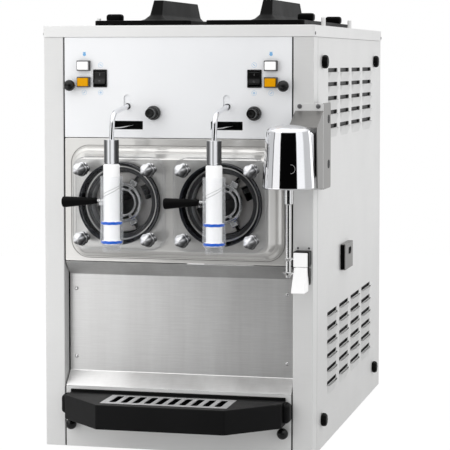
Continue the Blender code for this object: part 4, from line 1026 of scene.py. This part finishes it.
def drip_tray():
    profile = soften([(0.004, TRAY_BOTTOM), (0, TRAY_BOTTOM), (0, TRAY_TOP), (0.004, TRAY_TOP)], 0.0022, 5)
    walls = [lying(tray_outline(inset, 0.0025), z) for inset, z in profile]
    shell = loft(walls, cap=False)
    middle, half = (GRILLE_FRONT + GRILLE_BACK) / 2, (GRILLE_BACK - GRILLE_FRONT) / 2
    ledge, inside = TRAY_TOP - 0.0015, TRAY_BOTTOM + 0.003

    def recess(inset, z):
        return lying(box_outline((0, middle), GRILLE_HALF + 0.0005 - inset, half + 0.0005 - inset, 0.002, 4),
                     z)

    well = [recess(0, TRAY_TOP), recess(0, ledge), recess(0.0035, ledge), recess(0.0035, inside)]
    top = fill([from_above(walls[-1]), from_above(well[0])], "Z", TRAY_TOP)
    bottom = fill([from_above(well[-1])], "Z", inside)
    under = fill([from_above(walls[0])], "Z", TRAY_BOTTOM)
    lip = block((-0.197, TRAY_BACK - 0.004, 0.092), (0.197, TRAY_BACK, 0.105), 0.0012)
    ears = []
    for _, sign in SIDES:
        low, high = mirror_x(sign, 0.192, 0.2085)
        ears.append(block((low, TRAY_BACK - 0.026, 0.063), (high, TRAY_BACK, 0.0985), 0.0075, 6))
    piece("moulded_tray", joined(shell, top, loft(well, cap=False), bottom, under, lip, *ears), TRAY_BLACK,
          "tray", "drip_tray")

    low = TRAY_TOP - 0.0012
    front, back = GRILLE_FRONT + 0.01, GRILLE_BACK - 0.0065
    slots = [box_outline(((index - (SLOT_COUNT - 1) / 2) * SLOT_PITCH, (front + back) / 2), SLOT_HALF,
                         (back - front) / 2, 0.005, 8) for index in range(SLOT_COUNT)]
    grille = plate(box_outline((0, middle), GRILLE_HALF, half, 0.0015), slots, "Z", low, low + 0.0015,
                   0.0004)
    piece("slotted_grille", grille, ALUMINIUM, "grille", "drip_grille")


def drawer():
    outside = SIDE + 0.0095
    middle = ((DRAWER_FRONT + DRAWER_BACK) / 2, (DRAWER_BOTTOM + DRAWER_TOP) / 2)
    half = ((DRAWER_BACK - DRAWER_FRONT) / 2, (DRAWER_TOP - DRAWER_BOTTOM) / 2)
    pull = box_outline((FRONT + 0.326, 0.333), 0.0165, 0.0065, 0.0064, 10)
    face = plate(box_outline(middle, half[0], half[1], 0.0015), [pull], "X", outside - 0.0016, outside,
                 0.0004)
    edges = [block((SIDE + 0.0003, DRAWER_FRONT + 0.002, z), (outside - 0.0005, DRAWER_BACK, z + 0.0016),
                   0.0004) for z in (DRAWER_BOTTOM, DRAWER_TOP - 0.0016)]
    core = block((SIDE + 0.0003, DRAWER_FRONT + 0.001, DRAWER_BOTTOM + 0.0014),
                 (outside - 0.003, DRAWER_BACK - 0.001, DRAWER_TOP - 0.0014), 0.0008)
    front, back, low, high = (DRAWER_FRONT + 0.004, DRAWER_BACK - 0.004, DRAWER_BOTTOM + 0.004,
                              DRAWER_TOP - 0.006)
    middle_y, half_y = (front + back) / 2, (back - front) / 2
    outer = box_outline((0.113, middle_y), 0.133, half_y)
    inner = box_outline((0.1118, middle_y), 0.1302, half_y - SHEET)
    tub = loft([lying(outer, low), lying(outer, high), lying(inner, high), lying(inner, low + SHEET)])
    piece("drawer_steel", joined(face, *edges, tub), DULL_AND_SHADED_STEEL, "drawer", "drip_drawer")
    piece("drawer_core", core, BLACK, "drawer")


LID_TOP = 0.768
RIDGE_PROFILE = [
    # rise above the lid, half width, start and end of the length, corner
    (0.0, 0.037, 0.217, 0.57, 0.021), (0.0, 0.034, 0.22, 0.567, 0.019),
    (0.004, 0.02, 0.23, 0.556, 0.012), (0.012, 0.012, 0.246, 0.548, 0.004),
    (0.04, 0.0092, 0.264, 0.534, 0.003), (0.0407, 0.0084, 0.265, 0.533, 0.0022),
    (0.0407, 0.003, 0.27, 0.528, 0.001),
]


@on_both_sides
def lids(side, sign):
    low, high = mirror_x(sign, 0.0145, 0.1985)
    middle = (low + high) / 2
    edge = soften([(0.004, 0.7581), (0, 0.7581), (0, LID_TOP), (0.006, LID_TOP)], 0.0018, 5)
    base = [lying(box_outline((middle, FRONT + 0.393), 0.092 - inset, 0.247 - inset, 0.013 - inset), z)
            for inset, z in edge]
    ridge = []
    for rise, half, start, end, corner in soften(RIDGE_PROFILE, 0.003, 5):
        outline = box_outline((middle, FRONT + (start + end) / 2), half, (end - start) / 2, corner, 10)
        ridge.append(lying(outline, LID_TOP + rise))
    low, high = mirror_x(sign, 0.1695, 0.2005)
    latches = [block((low, y - 0.01, 0.767), (high, y + 0.01, 0.782), 0.005, 6) for y in LATCH_PLACES]
    piece(f"moulded_lid_{side}", joined(loft(base), loft(ridge), *latches), BLACK, f"{side}_lid",
          f"hopper_lid_{side}")


# -------------------- drink spinner and cup switch

def bracket():
    """The folded sheet that carries the spinner: a satin back plate, and a hood, cheek and flange in darker
    steel as painted shade.
    """
    left, right, outer, reach = 0.213, 0.2625, FRONT - 0.0023, FRONT - 0.06
    middle, half = 0.54575, 0.07475
    plugs = [(FRONT + 0.05, z) for z in (0.513, 0.592)]
    sheet = plate(box_outline(((left + right) / 2, middle), (right - left) / 2, half, 0.0025), [], "Y",
                  outer, FRONT - 0.0003, 0.0004)
    piece("bracket_back_plate", sheet, STEEL, stands_for="spinner_bracket")
    inner = outer + 0.001
    slope = soften([(inner, 0.608), (reach, 0.581), (reach, 0.579), (inner, 0.606)], 0.0004, 2, True)
    hood = plate(slope, [], "X", left, right, 0.0002)
    web = soften([(inner, 0.607), (reach, 0.58), (FRONT - 0.052, 0.4765), (inner, 0.472)], 0.002, 3, True)
    cheek = plate(web, [], "X", right - 0.0025, right - 0.0003, 0.0004)
    flange = plate(box_outline((FRONT + 0.035, middle), 0.035, half, 0.005),
                   [box_outline(plug, 0.0098, 0.0073, 0.0072) for plug in plugs], "X", right - 0.0022,
                   right, 0.0003)
    spacers = [turned([(0.006, 0), (0.006, right - SIDE - 0.002)], (SIDE + 0.0003, FRONT + 0.055, z),
                      (1, 0, 0), 0.0, 32) for z in (0.482, 0.609)]
    # The hood, cheek and flange get darker steel: painted shade.
    piece("bracket_hood", joined(hood, cheek, flange, *spacers), DULL_AND_SHADED_STEEL)
    caps = [plate(box_outline(plug, 0.01, 0.0075, 0.0074), [], "X", right - 0.0024, right + 0.0003, 0.0002)
            for plug in plugs]
    piece("bracket_grommets", joined(*caps), BLACK)


def spinner():
    at = (SPINNER_X, SPINNER_Y, 0)
    profile = [(0, 0.582), (0.03, 0.5815), (0.035, 0.579), (0.037, 0.5755), (0.0392, 0.56),
               (0.044, 0.485), (0.044, 0.4805), (0.0425, 0.479), (0, 0.479)]
    cap = [(0, 0.5865), (0.012, 0.5862), (0.022, 0.5845), (0.03, 0.5822), (0.033, 0.58), (0, 0.58)]
    shell = turned(profile, at, UP, 0.0022, 128)
    lobed = turned(cap, at, UP, 0.0012, 128, lobes=8, depth=0.0012)
    piece("spinner_cap", lobed, CAP_CHROME)
    arm = block((0.215, SPINNER_Y + 0.02, 0.492), (0.2585, FRONT - 0.003, 0.574), 0.006, 5)
    piece("spinner_shell", joined(shell, arm), CHROME, stands_for="spinner_housing")

    outline = box_outline((0.0045, 0.514), 0.053, 0.0074, 0.0072, 12)
    badge = []
    for u, z in outline:
        radius = 0.0392 + (0.044 - 0.0392) * (0.56 - z) / (0.56 - 0.483) + 0.0001
        angle = radians(-90) + (u - 0.038) / radius
        badge.append((SPINNER_X + radius * cos(angle), SPINNER_Y + radius * sin(angle), z))
    badge.append(badge[0])
    piece("spinner_blank_badge", tube(badge, 0.00035, 8), PALE_GREY)

    spindle = [(0, 0.4985), (0.0045, 0.4985), (0.0045, 0.4787), (0.0075, 0.4787), (0.0075, 0.453),
               (0.0045, 0.452), (0.0045, 0.3605), (0.0095, 0.3618), (0.0098, 0.3612),
               (0.0045, 0.357), (0.0045, 0.336), (0.01, 0.3378), (0.0103, 0.3371),
               (0.0045, 0.3325), (0.0035, 0.328), (0, 0.328)]
    piece("spinner_rod", turned(spindle, at, UP, 0.0004, 64), POLISHED, "spinner", "spinner_spindle")


def cup_switch():
    x, half = CUP_SWITCH_X, 0.0135
    case = block((x - half, FRONT - 0.027, 0.3395), (x + half, FRONT - 0.0003, 0.365), 0.0014)
    arms = [plate(soften([(FRONT - 0.026, 0.344), (FRONT - 0.008, 0.344), (FRONT - 0.0045, 0.33),
                          (FRONT - 0.004, 0.308), (FRONT - 0.012, 0.305), (FRONT - 0.026, 0.329)], 0.003,
                         4, True), [], "X", *mirror_x(sign, 0.0119, 0.0135), 0.0003) for _, sign in SIDES]
    arms = [moved(arm, Matrix.Translation((x, 0, 0))) for arm in arms]
    piece("cup_switch_case", joined(case, *arms), BLACK, stands_for="cup_switch_box")
    cover = block((x - 0.0128, FRONT - 0.03, 0.3385), (x + 0.0118, FRONT - 0.012, 0.363), 0.0012)
    piece("cup_switch_cover", cover, WHITE)
    pin = turned([(0.0014, 0), (0.0014, 0.001), (0, 0.0012)], (x + half - 0.0002, FRONT - 0.016, 0.3365),
                 (1, 0, 0), 0.0004, 24)
    piece("cup_switch_pin", pin, POLISHED)
    outline = soften([(FRONT - 0.03, 0.3375), (FRONT - 0.0575, 0.297), (FRONT - 0.0555, 0.2955),
                      (FRONT - 0.0185, 0.296), (FRONT - 0.018, 0.3345), (FRONT - 0.022, 0.337)],
                     0.0012, 4, True)
    flap = moved(plate(outline, [], "X", -0.0115, 0.0115, 0.0008), Matrix.Translation((x, 0, 0)))
    piece("cup_switch_flap", flap, WHITE, "flap", "cup_flap")


# -------------------- studio

# The floor's radius, the share of it that glows, and how bright matt surfaces see it and metal sees it
# beside the object
FLOOR_RADIUS, FLOOR_GLOW, MATT_FLOOR, FLOOR_BESIDE = 3.0, 0.86, 0.6, 0.55


def floor():
    """A pale round floor. Metal sees it bright in front of the object and dimmer behind it."""
    made = Finish("stainless", "studio_floor")
    nodes = made.nodes
    path = nodes.add("LightPath").outputs
    patches = nodes.ranged(nodes.noise(0.8), 1.04, 1.06)
    place = nodes.add("SeparateXYZ", {0: nodes.add("TexCoord").outputs["Object"]}).outputs
    across = nodes.math("MULTIPLY", nodes.ranged(place["X"], 1.45, 0.32, -0.75, -0.05),
                        nodes.ranged(place["Y"], 0.55, 1.0, -2.7, -1.9))
    beside = nodes.ranged(place["Y"], 0.0, 1.0, FRONT - 0.3, FRONT + 0.1)
    metal = nodes.math("ADD", nodes.math("MULTIPLY", across, nodes.math("SUBTRACT", 1.0, beside)),
                       nodes.math("MULTIPLY", beside, FLOOR_BESIDE))
    matt = nodes.math("MULTIPLY", path["Is Diffuse Ray"], MATT_FLOOR)
    dim = nodes.math("ADD", nodes.math("MULTIPLY", metal, path["Is Glossy Ray"]), matt)
    seen = nodes.math("MAXIMUM", nodes.math("MULTIPLY", patches, path["Is Camera Ray"]), dim)
    pale = nodes.grey(nodes.ranged(nodes.noise(1.1), 0.96, 0.99))
    sheet = nodes.add("BsdfDiffuse", {"Color": pale}).outputs[0]
    glow = nodes.add("Emission", {"Strength": seen}).outputs[0]
    made.output(nodes.add("MixShader", {0: FLOOR_GLOW, 1: sheet, 2: glow}).outputs[0])
    rim = lying(circle_outline((0, 0), FLOOR_RADIUS, 96), 0)
    mesh = bpy.data.meshes.new("studio_floor")
    mesh.from_pydata(rim, [], [tuple(range(len(rim)))])
    mesh.materials.append(made.material)
    disc = bpy.data.objects.new("studio_floor", mesh)
    link(disc)


def area_light(name, at, target, size, power):
    data = bpy.data.lights.new(name, "AREA")
    data.shape = "RECTANGLE"
    data.size, data.size_y = size
    data.energy = power
    light = bpy.data.objects.new(name, data)
    light.location = at
    light.rotation_euler = (Vector(target) - Vector(at)).to_track_quat("-Z", "Y").to_euler()
    light.visible_camera = False
    link(light)


# What metal sees all round, by the angle to the right of straight ahead of the object, in degrees
SURROUND = [
    (-180, 0.6), (-160, 0.55), (-145, 0.6), (-70, 0.6), (-64, 0.05), (-60, 0.002), (50, 0.002),
    (52, 1.05), (86, 1.05), (94, 0.6), (136, 0.62), (158, 0.62), (172, 0.6), (180, 0.58),
]

# How bright matt surfaces see the surround, against the camera's 1
MATT_LIGHT = 0.86


def studio_light():
    """A white surround for the camera and for matt surfaces, with dark gaps in what metal sees."""
    world = bpy.data.worlds.new("studio")
    bpy.context.scene.world = world
    world.use_nodes = True
    nodes = Nodes(world.node_tree)
    path = nodes.add("LightPath").outputs
    direction = nodes.add("TexCoord").outputs["Generated"]
    parts = nodes.add("SeparateXYZ", {0: direction}).outputs
    ahead = nodes.math("MULTIPLY", parts["Y"], -1.0)
    turn = nodes.ranged(nodes.math("ARCTAN2", parts["X"], ahead), 0, 1, -pi, pi)
    around = nodes.ramp(turn, [((angle + 180) / 360, (level, level * 1.005, level * 1.015))
                               for angle, level in SURROUND])
    raised = nodes.ranged(parts["Z"], 0, 1, 0.3, 0.5)
    overhead = nodes.ranged(parts["Z"], 1.05, 1.9, 0.55, 0.95)
    seen = nodes.blend(raised, around, nodes.grey(overhead))
    matt = nodes.math("MAXIMUM", path["Is Camera Ray"], path["Is Diffuse Ray"])
    even = nodes.ranged(path["Is Camera Ray"], MATT_LIGHT, 1.0, 0, 1)
    colour = nodes.blend(matt, seen, nodes.grey(even))
    surround = nodes.add("Background", {"Color": colour, "Strength": 1.0}).outputs[0]
    nodes.add("OutputWorld", {"Surface": surround})
    area_light("left_softbox", (-1.135, -1.6, 1.025), (-1.135, 0, 1.025), (1.53, 1.95), 9.4)
    area_light("side_card", (1.35, 1.5, 0.6), (1.35, 0, 0.6), (1.1, 1.1), 3.6)
    bpy.context.scene.view_settings.view_transform = "Standard"


def camera():
    data = bpy.data.cameras.new("camera")
    data.lens, data.sensor_width = 147.1, 36
    data.shift_y = -0.1
    made = bpy.data.objects.new("camera", data)
    made.location = (0.83668, -3.50645, 0.69399)
    made.rotation_euler = (radians(86.285), 0, radians(13.477))
    link(made)
    bpy.context.scene.camera = made


for build in (finish_cad_nodes, posts, top_cap, screws, side_panels, ball_knobs, rear_panel,
              control_panel, bezels, switches, knobs, symbols, freezer_panel, cylinders, doors,
              nuts, beaters, valves, draw_rods, splash_area, drip_tray, drawer, lids, bracket,
              spinner, cup_switch, floor, studio_light, camera):
    build()
